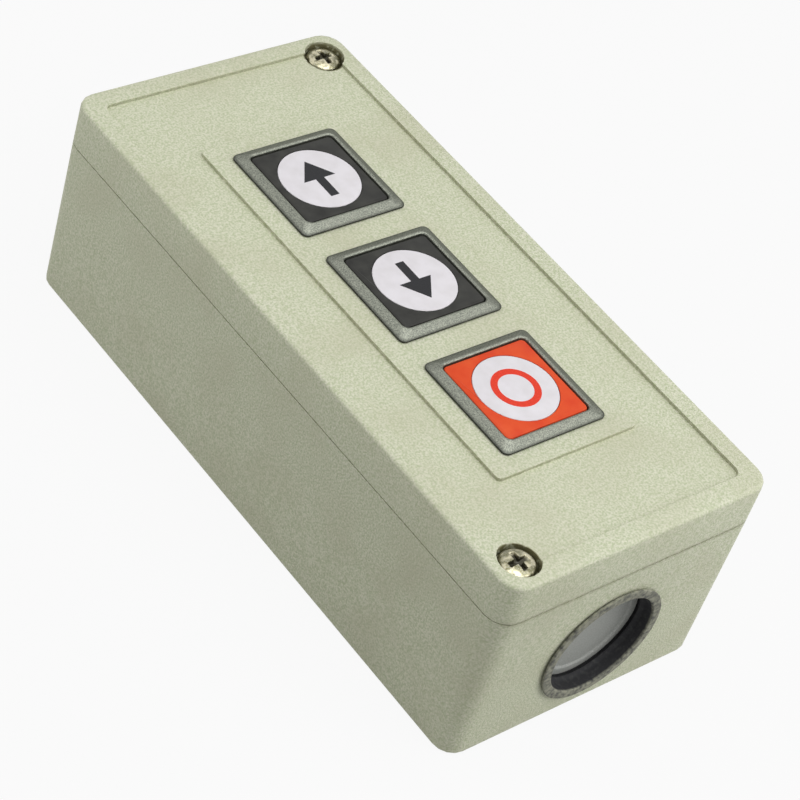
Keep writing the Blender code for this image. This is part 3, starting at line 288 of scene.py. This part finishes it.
def moulded(name, on_cover=False):
    """The casing's plastic: two tones of fine grain, faint clouds, patchy painted shade in the
    counterbores and along the steps, and a patchy darker line along the seam."""
    finish = Finish(name, specular=0.35)
    grain = finish.noise(0.42 * MM, detail=3.0)
    cloud = finish.noise(14 * MM)
    patch = finish.noise(1.1 * MM, detail=4.0)
    colour = finish.mixed(grain.spread(0.36, 0.64), casing_olive, casing_cream)
    colour = finish.mixed(0.5 * cloud.spread(0.45, 0.80), colour, casing_stain)
    if on_cover:
        # Painted shade: the wall of each counterbore is darkened in patches.
        for end_name in ("far", "near"):
            darkening = in_counterbore(finish, end_name) * patch.spread(0.28, 0.48)
            colour = finish.mixed(0.90 * darkening, colour, shade_and_seam_olive)
        # Painted shade: the walls of the low steps are darkened in patches.
        darkening = at_steps(finish) * patch.spread(0.25, 0.50)
        colour = finish.mixed(0.32 * darkening, colour, shade_and_seam_olive)
    darkening = at_seam(finish) * patch.spread(0.25, 0.50)
    colour = finish.mixed(0.30 * darkening, colour, shade_and_seam_olive)
    finish.surface(colour, 0.52 + 0.16 * grain, grain, strength=0.70, depth=0.20 * MM)
    return finish


dress("base_housing", moulded("moulded_base"), casing_edge)
dress("cover", moulded("moulded_cover", on_cover=True), casing_edge)


# Cover screws
# Two pan-head screws with a cross recess, zinc-plated and yellow-passivated. Each sits
# down in a counterbore at one corner of the cover and grips a brass insert in the box.

head_segments = 96
head_rings = 44
crown_power = 2.6
head_chamfer = 0.1 * MM
thread_start = 0.8 * MM
thread_rows_per_turn = 8
point_length = 0.6
point_radius = 0.45
cover_head_height = 2.3 * MM
cover_crown_height = 1.4 * MM
cover_shank_radius = 1.8 * MM
cover_thread_pitch = 0.7 * MM
cover_thread_depth = 0.22 * MM
recess_reach = 2.2 * MM
recess_width = 0.95 * MM
recess_depth = 1.25 * MM
recess_draft = 0.12 * MM

gold_light = (0.54, 0.50, 0.34)
gold_olive = (0.17, 0.16, 0.08)
gold_grey = (0.60, 0.60, 0.55)
recess_shade_dark = (0.050, 0.046, 0.030)


def grid_faces(rows, columns, ring=False):
    """Four-sided faces between the points of a grid; the columns go round, and so do the
    rows of a ring."""
    starts = np.arange(rows if ring else rows - 1)
    row, column = np.meshgrid(starts, np.arange(columns), indexing="ij")
    next_row = (row + 1) % rows
    next_column = (column + 1) % columns
    corners = [
        row * columns + column,
        row * columns + next_column,
        next_row * columns + next_column,
        next_row * columns + column,
    ]
    return np.stack(corners, axis=-1).reshape(-1, 4)


def surface_mesh(name, grids):
    """One mesh from grids of points, each given as (rows x columns x 3 array, ring). Rows
    that are one point close the ends, because equal points are merged."""
    points = []
    faces = []
    count = 0
    for grid, ring in grids:
        rows, columns = grid.shape[:2]
        points.append(grid.reshape(-1, 3))
        faces.append(grid_faces(rows, columns, ring) + count)
        count += rows * columns
    mesh = bpy.data.meshes.new(name)
    mesh.from_pydata(np.concatenate(points), [], np.concatenate(faces))
    form = bmesh.new()
    form.from_mesh(mesh)
    bmesh.ops.remove_doubles(form, verts=form.verts, dist=joining_distance / 2)
    bmesh.ops.recalc_face_normals(form, faces=form.faces)
    form.to_mesh(mesh)
    form.free()
    return mesh


def add_piece(name, mesh, finish, slot, body, *nodes):
    """A new piece in its finish, riding on a body in place of the named nodes; its slot is not
    used.
    """
    mesh.materials.append(finish.material)
    mesh.shade_smooth()
    mesh.set_sharp_from_angle(angle=sharp_angle)
    piece = bpy.data.objects.new(name, mesh)
    bpy.context.scene.collection.objects.link(piece)
    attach(piece, body)
    if nodes:
        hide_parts(*nodes)
    return piece


def turned(profile, segments):
    """A profile of (radius, level) rows turned about the upright axis: each row becomes a
    ring of points at radius times the cosine and the sine of the turn."""
    turn = np.linspace(0, 2 * math.pi, segments, endpoint=False)[None, :]
    radius = profile[:, :1]
    level = profile[:, 1:]
    return np.stack([radius * np.cos(turn), radius * np.sin(turn), level + 0 * turn], axis=-1)


def step_down(distance, width):
    """1 where the distance is below zero, 0 where it is above the width, and between them
    1 minus 3 squares plus 2 cubes of the share."""
    share = np.clip(distance / width, 0, 1)
    return 1 - share * share * (3 - 2 * share)


def cross_recess(x, y):
    """Depth of a cross recess: the deeper of two arms, each as deep as the root of the
    share of its reach that is left, and cut off at its width."""
    depth = np.zeros_like(x)
    for along, across in ((x, y), (y, x)):
        left = np.clip(1 - np.abs(along) / recess_reach, 0, 1)
        arm = step_down(np.abs(across) - recess_width / 2, recess_draft)
        depth = np.maximum(depth, recess_depth * np.sqrt(left) * arm)
    return depth


def screw_mesh(node_name, head_height, crown_height, shank, recess, pitch, thread_depth):
    """A screw that fills a node's box. The head is a polar grid with rings at the sine of
    an even share, crowned by a superellipse and lowered by the recess. The shank's radius
    falls by the thread's depth along a saw-tooth helix."""
    middle, radius, tip, top = upright(node_name)
    seat = top - head_height
    turn = np.linspace(0, 2 * math.pi, head_segments, endpoint=False)[None, :]
    reach = np.sin(np.linspace(0, 1, head_rings)[:, None] * math.pi / 2)
    x = radius * reach * np.cos(turn)
    y = radius * reach * np.sin(turn)
    crown = crown_height * np.clip(1 - reach**crown_power, 0, 1) ** (1 / crown_power)
    head = np.stack([x, y, top - crown_height + crown - recess(x, y)], axis=-1)

    side = np.array([
        (radius, top - crown_height),
        (radius, seat + head_chamfer),
        (radius - head_chamfer, seat),
        (shank, seat),
    ])
    rows = int((seat - tip) / pitch * thread_rows_per_turn)
    level = np.linspace(seat - thread_start, tip + shank * point_length, rows)[:, None]
    saw = np.abs((level / pitch - turn / (2 * math.pi)) % 1 - 0.5) * 2
    thread = shank - thread_depth * saw
    helix = np.stack([thread * np.cos(turn), thread * np.sin(turn), level + 0 * turn], axis=-1)
    point = np.array([(shank * point_radius, tip), (0.0, tip)])

    grid = np.concatenate([head, turned(side, head_segments), helix, turned(point, head_segments)])
    grid[..., :2] += middle
    mesh = surface_mesh(f"{node_name}_mesh", [(grid, False)])
    places = np.empty(len(mesh.vertices) * 3)
    mesh.vertices.foreach_get("co", places)
    places = places.reshape(-1, 3) - (*middle, 0)
    # The depth of the recess as a share at each point, kept for painted shade in the recess.
    recess_share = np.where(places[:, 2] > seat, recess(places[:, 0], places[:, 1]) / recess_depth, 0)
    mesh.attributes.new("recess_share", "FLOAT", "POINT").data.foreach_set("value", recess_share)
    return mesh


plating = Finish("passivated_zinc", metallic=1.0, coat=0.5)
bloom = plating.noise(1.1 * MM)
scuff = plating.noise(0.25 * MM, place=plating.stretched(1.0, 6.0, 1.0))
recess_share = plating.node("ShaderNodeAttribute", {"attribute_name": "recess_share"}, output="Fac")
plating_colour = plating.mixed(bloom.spread(0.38, 0.56), gold_light, gold_olive)
plating_colour = plating.mixed(scuff.spread(0.55, 0.70), plating_colour, gold_grey)
# Painted shade: the recess is darkened by its depth, and it is rougher there too.
plating_colour = plating.mixed(recess_share.spread(0.0, 0.5), plating_colour, recess_shade_dark)
plating.surface(plating_colour, 0.26 + 0.2 * scuff + 0.3 * recess_share, scuff, strength=0.15)

for end_name in ("far", "near"):
    node = f"cover_screw_{end_name}"
    mesh = screw_mesh(
        node, cover_head_height, cover_crown_height, cover_shank_radius, cross_recess,
        cover_thread_pitch, cover_thread_depth,
    )
    add_piece(f"cross_head_screw_{end_name}", mesh, plating, "plated_screw", "casing", node)


# Threaded inserts
# Turned brass sleeves with two collars and a waist between them, pressed hot into the two
# corner bosses of the box. Only their top faces would show with the cover off.

brass_edge = 0.06 * MM
brass_bright = (0.72, 0.52, 0.22)
brass_dull = (0.50, 0.36, 0.15)

brass = Finish("turned_brass", metallic=1.0)
tarnish = brass.noise(2.5 * MM)
turning = brass.noise(0.15 * MM, place=brass.stretched(1.0, 1.0, 8.0))
brass_colour = brass.mixed(tarnish.spread(0.35, 0.65), brass_bright, brass_dull)
brass.surface(brass_colour, 0.26 + 0.14 * turning, turning, strength=0.2)

for end_name in ("far", "near"):
    dress(f"insert_{end_name}", brass, brass_edge)


# Cable entry
# A black rubber bush clipped into the end wall, with a flange on each side of the wall.
# A grey blanking disc with a raised rim is snapped into a groove at the back of its bore.

entry_height = 17.3 * MM
entry_face = -69.785 * MM
wall_draft = 0.4 * MM
wall_rise = 36.25 * MM
entry_segments = 128
bore_radius = 11.9 * MM
bush_wall = 0.8 * MM
flange_gap = 0.2 * MM
flange_front = -0.8 * MM
flange_overlap = 1.2 * MM
wall_back = 2.9 * MM
back_overlap = 1.0 * MM
back_overlap_end = 0.6 * MM
ledge = 1.3 * MM
lip = 0.55 * MM
groove_play = 0.3 * MM
bush_rounding = 0.32 * MM
blank_front = 3.2 * MM
blank_back = 5.0 * MM
blank_rim = 1.55 * MM
blank_dish = 0.4 * MM
blank_rounding = 0.18 * MM

rubber_black = (0.016, 0.016, 0.018)
rubber_dull = (0.060, 0.062, 0.058)
rubber_bloom = (0.290, 0.290, 0.225)
blank_grey = (0.290, 0.300, 0.275)
blank_pale = (0.380, 0.390, 0.370)


def eased(corners, radius, closed=False, steps=5):
    """A profile with each corner cut back by the radius, or by less on a short side, and
    bridged by a parabola."""
    corners = np.asarray(corners, float)
    before = np.roll(corners, 1, axis=0)
    after = np.roll(corners, -1, axis=0)
    share = np.linspace(0, 1, steps)[:, None]
    rows = []
    for number, (last, corner, following) in enumerate(zip(before, corners, after)):
        if not closed and number in (0, len(corners) - 1):
            rows.append(corner[None, :])
            continue
        back = last - corner
        ahead = following - corner
        cut_back = min(radius, 0.45 * np.linalg.norm(back)) / np.linalg.norm(back)
        cut_ahead = min(radius, 0.45 * np.linalg.norm(ahead)) / np.linalg.norm(ahead)
        start = corner + back * cut_back
        end = corner + ahead * cut_ahead
        rows.append(start * (1 - share) ** 2 + corner * 2 * share * (1 - share) + end * share**2)
    return np.concatenate(rows)


def set_in_wall(mesh):
    """Moves a mesh from the entry's own axes, Z into the casing, to the drafted end wall."""
    lean = Matrix.Rotation(math.atan2(wall_draft, wall_rise) - math.pi / 2, 4, "X")
    mesh.transform(Matrix.Translation((0.0, entry_face, entry_height)) @ lean)
    return mesh


rubber = Finish("black_rubber", specular=0.3)
bloom = rubber.noise(0.9 * MM, detail=4.0)
pores = rubber.noise(0.18 * MM)
outer_face = 1.0 - rubber.along("Y").spread(
    entry_face + 0.7 * flange_front, entry_face + 0.2 * flange_front
)
bloomed = rubber.mixed(bloom.spread(0.30, 0.62), rubber_dull, rubber_bloom)
shaded = rubber.mixed(0.5 * bloom.spread(0.50, 0.75), rubber_black, rubber_dull)
rubber.surface(
    rubber.mixed(outer_face, shaded, bloomed), 0.62 + 0.2 * pores, pores, strength=0.25
)

bush_neck = bore_radius + bush_wall
ledge_front = blank_back + groove_play
ledge_back = ledge_front + ledge
bush_profile = [
    (bore_radius, flange_front),
    (bush_neck + flange_overlap, flange_front),
    (bush_neck + flange_overlap, -flange_gap),
    (bush_neck, -flange_gap),
    (bush_neck, wall_back),
    (bush_neck + back_overlap, wall_back),
    (bush_neck + back_overlap_end, ledge_back),
    (bore_radius - ledge, ledge_back),
    (bore_radius - ledge, ledge_front),
    (bore_radius, ledge_front),
    (bore_radius, blank_front - groove_play),
    (bore_radius - lip, blank_front - 2 * groove_play),
    (bore_radius, blank_front - 5 * groove_play),
]
bush = turned(eased(bush_profile, bush_rounding, closed=True), entry_segments)
bush_mesh = set_in_wall(surface_mesh("entry_bush_mesh", [(bush, True)]))
add_piece("rubber_bush", bush_mesh, rubber, "rubber", "casing", "entry_bush")

blank = Finish("grey_blank", specular=0.4)
grain = blank.noise(0.35 * MM, detail=3.0)
blank_colour = blank.mixed(grain.spread(0.35, 0.65), blank_grey, blank_pale)
blank.surface(blank_colour, 0.45 + 0.2 * grain, grain, strength=0.3, depth=0.08 * MM)

blank_radius = bore_radius - groove_play
blank_profile = [
    (0.0, blank_front + blank_dish),
    (blank_radius - blank_rim - blank_dish, blank_front + blank_dish),
    (blank_radius - blank_rim, blank_front),
    (blank_radius, blank_front),
    (blank_radius, blank_back),
    (0.0, blank_back),
]
disc = turned(eased(blank_profile, blank_rounding), entry_segments)
blank_mesh = set_in_wall(surface_mesh("entry_blank_mesh", [(disc, False)]))
add_piece("blanking_disc", blank_mesh, blank, "blank", "casing", "entry_blank")


# Bezels
# Square frames of satin grey metal, one round each button. The sides slope up from a
# thin upright foot on the plinth, and a neck with two barbs clips under the cover.

bezel_height = 1.3 * MM
bezel_corner = 1.3 * MM
foot_height = 0.35 * MM
land_width = 0.55 * MM
land_chamfer = 0.25 * MM
bezel_rounding = 0.14 * MM
neck_overlap = 1.4 * MM
neck_wall = 0.9 * MM
neck_corner = 0.65 * MM
neck_play = 0.3 * MM
opening_corner = 1.3 * MM
plate_depth = 4.8 * MM
barb_width = 6.0 * MM
barb_reach = 0.9 * MM
barb_root = 0.4 * MM
corner_steps = 10
crevice_low = 0.32 * MM
crevice_high = 0.62 * MM

bezel_grey = (0.122, 0.132, 0.112)
bezel_pale = (0.290, 0.300, 0.250)
bezel_shade_dark = (0.030, 0.032, 0.028)
bezel_edge_tint = (0.30, 0.30, 0.30, 1.0)


def square_frame(profile, middle):
    """A profile of (half size, corner radius, level) rows carried round a rounded square:
    each row is a square outline whose corners are quarter circles."""
    half, radius, level = (profile[:, number : number + 1] for number in range(3))
    quarter = np.linspace(0, math.pi / 2, corner_steps + 1)
    angle = (quarter[None, :] + np.arange(4)[:, None] * math.pi / 2).reshape(1, -1)
    sign_x = np.repeat([1, -1, -1, 1], corner_steps + 1)[None, :]
    sign_y = np.repeat([1, 1, -1, -1], corner_steps + 1)[None, :]
    x = sign_x * (half - radius) + radius * np.cos(angle) + middle[0]
    y = sign_y * (half - radius) + radius * np.sin(angle) + middle[1]
    return np.stack([x, y, level + 0 * angle], axis=-1)


def barb(side, middle, neck, low, high):
    """A wedge on one side of the neck: its four-cornered side view at both ends of its
    width, with a row at the view's centre before and after them to close the ends."""
    view = np.array([
        (neck - barb_root, low),
        (neck, low),
        (neck + barb_reach, high),
        (neck - barb_root, high),
    ])
    centre = np.broadcast_to(view.mean(axis=0), view.shape)
    views = np.stack([centre, view, view, centre])
    ends = np.array([-1, -1, 1, 1])[:, None] * np.full(4, barb_width / 2)
    x = middle[0] + side * views[..., 0]
    return np.stack([x, middle[1] + ends, views[..., 1]], axis=-1)


bezel_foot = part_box("bezel_forward")[1].z - bezel_height

satin = Finish("satin_metal", metallic=0.85)
satin.shader.inputs["Specular Tint"].default_value = bezel_edge_tint
blast = satin.noise(0.22 * MM, detail=3.0)
haze = satin.noise(5 * MM)
# Painted shade: each frame is darkened at its foot, fading out between about 0.3 and 0.6 mm above
# it.
crevice = 1.0 - satin.along("Z").spread(bezel_foot + crevice_low, bezel_foot + crevice_high)
satin_colour = satin.mixed(blast.spread(0.36, 0.64), bezel_grey, bezel_pale)
satin_colour = satin.mixed(0.88 * crevice, satin_colour, bezel_shade_dark)
satin.surface(satin_colour, 0.40 + 0.12 * haze, blast, strength=0.4, depth=0.08 * MM)

for station in ("forward", "reverse", "stop"):
    middle, half, bottom, top = upright(f"bezel_{station}")
    neck = half - neck_overlap
    inside = neck - neck_wall
    corners = [
        (neck, neck_corner, bottom),
        (neck, neck_corner, bezel_foot),
        (half, bezel_corner, bezel_foot),
        (half, bezel_corner, bezel_foot + foot_height),
        (inside + land_width, opening_corner + land_width, top),
        (inside + land_chamfer, opening_corner + land_chamfer, top),
        (inside, opening_corner, top - land_chamfer),
        (inside, opening_corner, bottom),
    ]
    grids = [(square_frame(eased(corners, bezel_rounding, closed=True), middle), True)]
    barb_top = top - plate_depth - neck_play
    for side in (1, -1):
        grids.append((barb(side, middle, neck, bottom + neck_play, barb_top), False))
    mesh = surface_mesh(f"bezel_{station}_mesh", grids)
    add_piece(f"bezel_frame_{station}", mesh, satin, "bezel", "casing", f"bezel_{station}")


# Buttons
# Hollow square caps in satin ABS, two black and one orange-red, each pressed onto its
# plunger. The top is flat inside a softly rounded edge and has a round seat.

cap_edge = 0.12 * MM
black_deep = (0.018, 0.018, 0.016)
black_worn = (0.042, 0.042, 0.037)
red_deep = (0.680, 0.056, 0.013)
red_worn = (0.740, 0.094, 0.024)


def cap_finish(name, deep, worn):
    """Satin ABS with a very fine grain, a little paler where fingers have rubbed it."""
    finish = Finish(name, specular=0.22)
    grain = finish.noise(0.20 * MM)
    rubbed = finish.noise(4 * MM, detail=4.0)
    colour = finish.mixed(rubbed.spread(0.35, 0.70), deep, worn)
    finish.surface(colour, 0.34 + 0.22 * rubbed, grain, strength=0.18, depth=0.04 * MM)
    return finish


cap_black = cap_finish("black_cap", black_deep, black_worn)
cap_red = cap_finish("red_cap", red_deep, red_worn)

dress("button_forward", cap_black, cap_edge)
dress("button_reverse", cap_black, cap_edge)
dress("button_stop", cap_red, cap_edge)


# Legend discs
# Satin white plastic discs, glued flush into the seats of the caps. Each carries one
# plain printed mark: an arrow up, an arrow down, and a ring.

disc_rounding = 0.12 * MM
disc_segments = 128
mark_thickness = 0.03 * MM
mark_sunk = 0.01 * MM
arrow_length = 10.4 * MM
arrow_width = 7.6 * MM
arrow_head = 5.2 * MM
arrow_stem = 2.0 * MM
ring_outside = 4.9 * MM
ring_inside = 3.5 * MM

disc_white = (0.760, 0.735, 0.765)
disc_shade = (0.700, 0.675, 0.695)
ink_black = (0.012, 0.012, 0.014)
ink_red = (0.700, 0.045, 0.020)

white = Finish("white_disc", specular=0.3)
tone = white.noise(3 * MM)
orange_peel = white.noise(0.5 * MM)
white_colour = white.mixed(tone.spread(0.35, 0.70), disc_white, disc_shade)
white.surface(white_colour, 0.36 + 0.1 * tone, orange_peel, strength=0.08)


def ink_finish(name, colour):
    """Screen-printed ink, slightly uneven in gloss and cover."""
    finish = Finish(name, specular=0.25)
    cover = finish.noise(0.3 * MM)
    paler = tuple(channel * 1.25 + 0.006 for channel in colour)
    finish.surface(finish.mixed(cover.spread(0.45, 0.8), colour, paler), 0.45 + 0.15 * cover)
    return finish


black_ink = ink_finish("black_ink", ink_black)
red_ink = ink_finish("red_ink", ink_red)


def plate_mesh(name, outline, low, high):
    """A thin flat plate: the outline's points at two levels, joined round the edge."""
    count = len(outline)
    points = np.concatenate([
        np.column_stack([outline, np.full(count, low)]),
        np.column_stack([outline, np.full(count, high)]),
    ])
    point = np.arange(count)
    following = (point + 1) % count
    sides = np.column_stack([point, following, following + count, point + count])
    mesh = bpy.data.meshes.new(name)
    mesh.from_pydata(points, [], [*sides.tolist(), point[::-1].tolist(), (point + count).tolist()])
    return mesh


def arrow_outline(way):
    """A straight arrow along Y, pointing the given way."""
    half = arrow_length / 2
    neck = half - arrow_head
    right = [
        (0.0, half),
        (-arrow_width / 2, neck),
        (-arrow_stem / 2, neck),
        (-arrow_stem / 2, -half),
        (arrow_stem / 2, -half),
        (arrow_stem / 2, neck),
        (arrow_width / 2, neck),
    ]
    return np.array(right) * way


for station, arrow_way in (("forward", 1), ("reverse", -1), ("stop", 0)):
    body = f"operator_{station}"
    middle, radius, bottom, top = upright(f"legend_disc_{station}")
    corners = [(0.0, top), (radius, top), (radius, bottom), (0.0, bottom)]
    grid = turned(eased(corners, disc_rounding), disc_segments)
    grid[..., :2] += middle
    mesh = surface_mesh(f"disc_{station}_mesh", [(grid, False)])
    add_piece(f"white_disc_{station}", mesh, white, "disc", body, f"legend_disc_{station}")

    mark_low = top - mark_sunk
    mark_high = top + mark_thickness
    if arrow_way:
        outline = arrow_outline(arrow_way) + middle
        mark = plate_mesh(f"mark_{station}_mesh", outline, mark_low, mark_high)
        add_piece(f"printed_arrow_{station}", mark, black_ink, "black_cap", body)
    else:
        corners = np.array([
            (ring_inside, mark_low),
            (ring_inside, mark_high),
            (ring_outside, mark_high),
            (ring_outside, mark_low),
        ])
        grid = turned(corners, disc_segments)
        grid[..., :2] += middle
        mark = surface_mesh(f"mark_{station}_mesh", [(grid, True)])
        add_piece(f"printed_ring_{station}", mark, red_ink, "red_cap", body)


# Plungers and clips
# Natural nylon stems that carry the caps, with a window for the contact bridge at the
# foot. A punched spring-steel clip in a groove of each stem takes the return spring.

plunger_edge = 0.08 * MM
clip_edge = 0.05 * MM
nylon_milk = (0.74, 0.71, 0.60)
nylon_amber = (0.66, 0.60, 0.46)
steel_bright = (0.56, 0.56, 0.55)
steel_blue = (0.34, 0.35, 0.38)

nylon = Finish("natural_nylon", specular=0.45)
flow = nylon.noise(2.2 * MM, place=nylon.stretched(1.0, 1.0, 0.35))
nylon_colour = nylon.mixed(flow.spread(0.35, 0.65), nylon_milk, nylon_amber)
nylon.surface(nylon_colour, 0.38 + 0.15 * flow, flow, strength=0.1)

spring_steel = Finish("drawn_steel", metallic=1.0)
draw = spring_steel.noise(0.6 * MM, detail=4.0)
steel_colour = spring_steel.mixed(draw.spread(0.40, 0.62), steel_bright, steel_blue)
spring_steel.surface(steel_colour, 0.22 + 0.16 * draw, draw, strength=0.1)

for station in ("forward", "reverse", "stop"):
    dress(f"plunger_{station}", nylon, plunger_edge)
    dress(f"spring_clip_{station}", spring_steel, clip_edge)


# Springs
# Compression springs of drawn steel wire with closed end coils. The return springs push
# the clips up from the lids; the small ones hold each bridge in its window.

return_wire = 0.7 * MM
return_turns = 4.5
contact_wire = 0.45 * MM
contact_turns = 3.5
coil_steps = 40
wire_sides = 12
end_turns = 0.75
end_easing = 0.5
end_rise = 0.55
travel = 4.0 * MM
overtravel = 1.0 * MM


def spring_mesh(node_name, wire, turns):
    """A round wire along a helix on an upright axis, filling the node's box. A steady rise
    of about half a wire per turn is added to a rise that is eased from nothing on the end
    turns to the pitch between them. A row at the centre of the wire closes each end."""
    low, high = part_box(node_name)
    middle = ((low.x + high.x) / 2, (low.y + high.y) / 2)
    radius = min(high.x - low.x, high.y - low.y) / 2 - wire / 2
    count = int(turns * coil_steps) + 1
    turn = np.linspace(0, turns, count)
    between = step_down(end_turns - turn, end_easing)
    between = between * step_down(turn - turns + end_turns, end_easing)
    least_rate = 0.25 * wire
    rate = least_rate + between
    rise = np.concatenate([[0.0], np.cumsum((rate[1:] + rate[:-1]) / 2)])
    steady = end_rise * wire * turn
    level = low.z + wire / 2 + steady
    level = level + rise / rise[-1] * (high.z - low.z - wire - steady[-1])
    angle = 2 * math.pi * turn[:, None]
    around = np.linspace(0, 2 * math.pi, wire_sides, endpoint=False)[None, :]
    reach = radius + wire / 2 * np.cos(around)
    points = np.stack([
        middle[0] + reach * np.cos(angle),
        middle[1] + reach * np.sin(angle),
        level[:, None] + wire / 2 * np.sin(around),
    ], axis=-1)
    first = np.broadcast_to(points[0].mean(axis=0), points[:1].shape)
    last = np.broadcast_to(points[-1].mean(axis=0), points[:1].shape)
    return surface_mesh(f"{node_name}_mesh", [(np.concatenate([first, points, last]), False)])


def pressed(piece, node_name, shortening):
    """Gives a spring its own copy of its mesh. The share of its length left after the shortening
    is worked out, but nothing uses it.
    """
    middle, _, foot, top = upright(node_name)
    length = top - foot
    (length - shortening) / length
    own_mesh(piece)


for station in ("forward", "reverse", "stop"):
    node = f"return_spring_{station}"
    mesh = spring_mesh(node, return_wire, return_turns)
    piece = add_piece(f"return_coil_{station}", mesh, spring_steel, "spring_steel", "casing", node)
    pressed(piece, node, travel)

    node = f"contact_spring_{station}"
    body = f"bridge_{station}"
    mesh = spring_mesh(node, contact_wire, contact_turns)
    piece = add_piece(f"contact_coil_{station}", mesh, spring_steel, "spring_steel", body, node)
    if station != "stop":
        pressed(piece, node, overtravel)


# Contact blocks
# Black phenolic bodies screwed to posts on the floor of the box, with clip-on lids that
# guide the stems. Brass strips lead from the slotted terminal screws to the fixed
# contacts, and a bridge of rolled copper joins them across each block.

block_edge = 0.10 * MM
bridge_edge = 0.06 * MM
slotted_crown_height = 0.35 * MM
slotted_thread_pitch = 0.5 * MM
slotted_thread_depth = 0.16 * MM
slot_width = 0.8 * MM
slot_depth = 0.8 * MM
slot_draft = 0.08 * MM
slotted_screws = (
    ("terminal_screw", 1.9 * MM, 1.5 * MM),
    ("block_screw", 1.7 * MM, 1.3 * MM),
)

phenolic_black = (0.022, 0.019, 0.017)
phenolic_brown = (0.060, 0.048, 0.038)
copper_bright = (0.78, 0.42, 0.27)
copper_dull = (0.52, 0.28, 0.19)

phenolic = Finish("moulded_phenolic", specular=0.45)
filler = phenolic.noise(0.30 * MM, detail=4.0)
phenolic_colour = phenolic.mixed(filler.spread(0.45, 0.72), phenolic_black, phenolic_brown)
phenolic.surface(phenolic_colour, 0.36 + 0.2 * filler, filler, strength=0.12)

copper = Finish("rolled_copper", metallic=1.0)
tarnish = copper.noise(1.8 * MM)
rolling = copper.noise(0.12 * MM, place=copper.stretched(0.15, 1.0, 1.0))
copper_colour = copper.mixed(tarnish.spread(0.38, 0.64), copper_bright, copper_dull)
copper.surface(copper_colour, 0.24 + 0.14 * rolling, rolling, strength=0.12)


def slot_recess(x, y):
    """Depth of a straight slot right across the head, cut off at its width."""
    return slot_depth * step_down(np.abs(y) - slot_width / 2, slot_draft)


for station in ("forward", "reverse", "stop"):
    dress(f"block_body_{station}", phenolic, block_edge)
    dress(f"block_lid_{station}", phenolic, block_edge)
    dress(f"contact_bridge_{station}", copper, bridge_edge)
    for side_name in ("right", "left"):
        dress(f"terminal_{station}_{side_name}", brass, brass_edge)
        for kind, head_height, shank_radius in slotted_screws:
            node = f"{kind}_{station}_{side_name}"
            mesh = screw_mesh(
                node, head_height, slotted_crown_height, shank_radius, slot_recess,
                slotted_thread_pitch, slotted_thread_depth,
            )
            add_piece(f"slotted_{node}", mesh, plating, "plated_screw", "casing", node)


# Floor and light
# A pale table under the station and an even sky all round. One broad soft lamp hangs high
# above the cable-entry end, and two small ones stand low beside that end and the long side.

floor_reach = 4.0
floor_drop = 0.05 * MM
floor_albedo = (0.45, 0.45, 0.45, 1.0)
floor_white_share = 0.92
sky_strength = 0.20
# Each lamp has its name, its place, its width in metres and its power in watts.
lamps = (
    ("soft lamp", (0.03, -0.33, 1.26), 1.40, 15.1),
    ("end lamp", (0.26, -0.30, 0.17), 0.30, 0.58),
    ("side lamp", (-0.30, 0.26, 0.17), 0.30, 0.42),
)


def seen_directly(nodes):
    """1 on rays that show the background: from the camera, or off gloss or through glass."""
    camera_ray, glossy_ray, glass_ray = (
        nodes.node("ShaderNodeLightPath", output=f"Is {kind} Ray")
        for kind in ("Camera", "Glossy", "Transmission")
    )
    return camera_ray.larger(glossy_ray).larger(glass_ray)


table = Finish("white_table", specular=0.0)
table.shader.inputs["Base Color"].default_value = floor_albedo
table.shader.inputs["Roughness"].default_value = 1.0
layers = {
    0: seen_directly(table) * floor_white_share,
    1: Amount(table, table.shader.outputs[0]),
    2: table.node("ShaderNodeEmission"),
}
output = table.tree.nodes["Material Output"]
table.feed(output.inputs["Surface"], table.node("ShaderNodeMixShader", sockets=layers))

corner_signs = np.array([(-1, -1), (1, -1), (1, 1), (-1, 1)])
corners = np.column_stack([corner_signs * floor_reach, np.full(4, -floor_drop)])
floor_mesh = bpy.data.meshes.new("floor")
floor_mesh.from_pydata(corners, [], [(0, 1, 2, 3)])
floor_mesh.materials.append(table.material)
floor = bpy.data.objects.new("floor", floor_mesh)
bpy.context.scene.collection.objects.link(floor)

world = bpy.data.worlds.new("sky")
world.use_nodes = True
bpy.context.scene.world = world
background = world.node_tree.nodes["Background"]
background.inputs["Color"].default_value = (1.0, 1.0, 1.0, 1.0)
sky = Nodes(world.node_tree)
sky.feed(background.inputs["Strength"], sky_strength + (1.0 - sky_strength) * seen_directly(sky))

for name, place, size, power in lamps:
    lamp_data = bpy.data.lights.new(name, "AREA")
    lamp_data.size = size
    lamp_data.energy = power
    lamp = bpy.data.objects.new(name, lamp_data)
    lamp.location = place
    lamp.rotation_euler = lamp.location.to_track_quat("Z", "Y").to_euler()
    lamp.visible_camera = False
    bpy.context.scene.collection.objects.link(lamp)
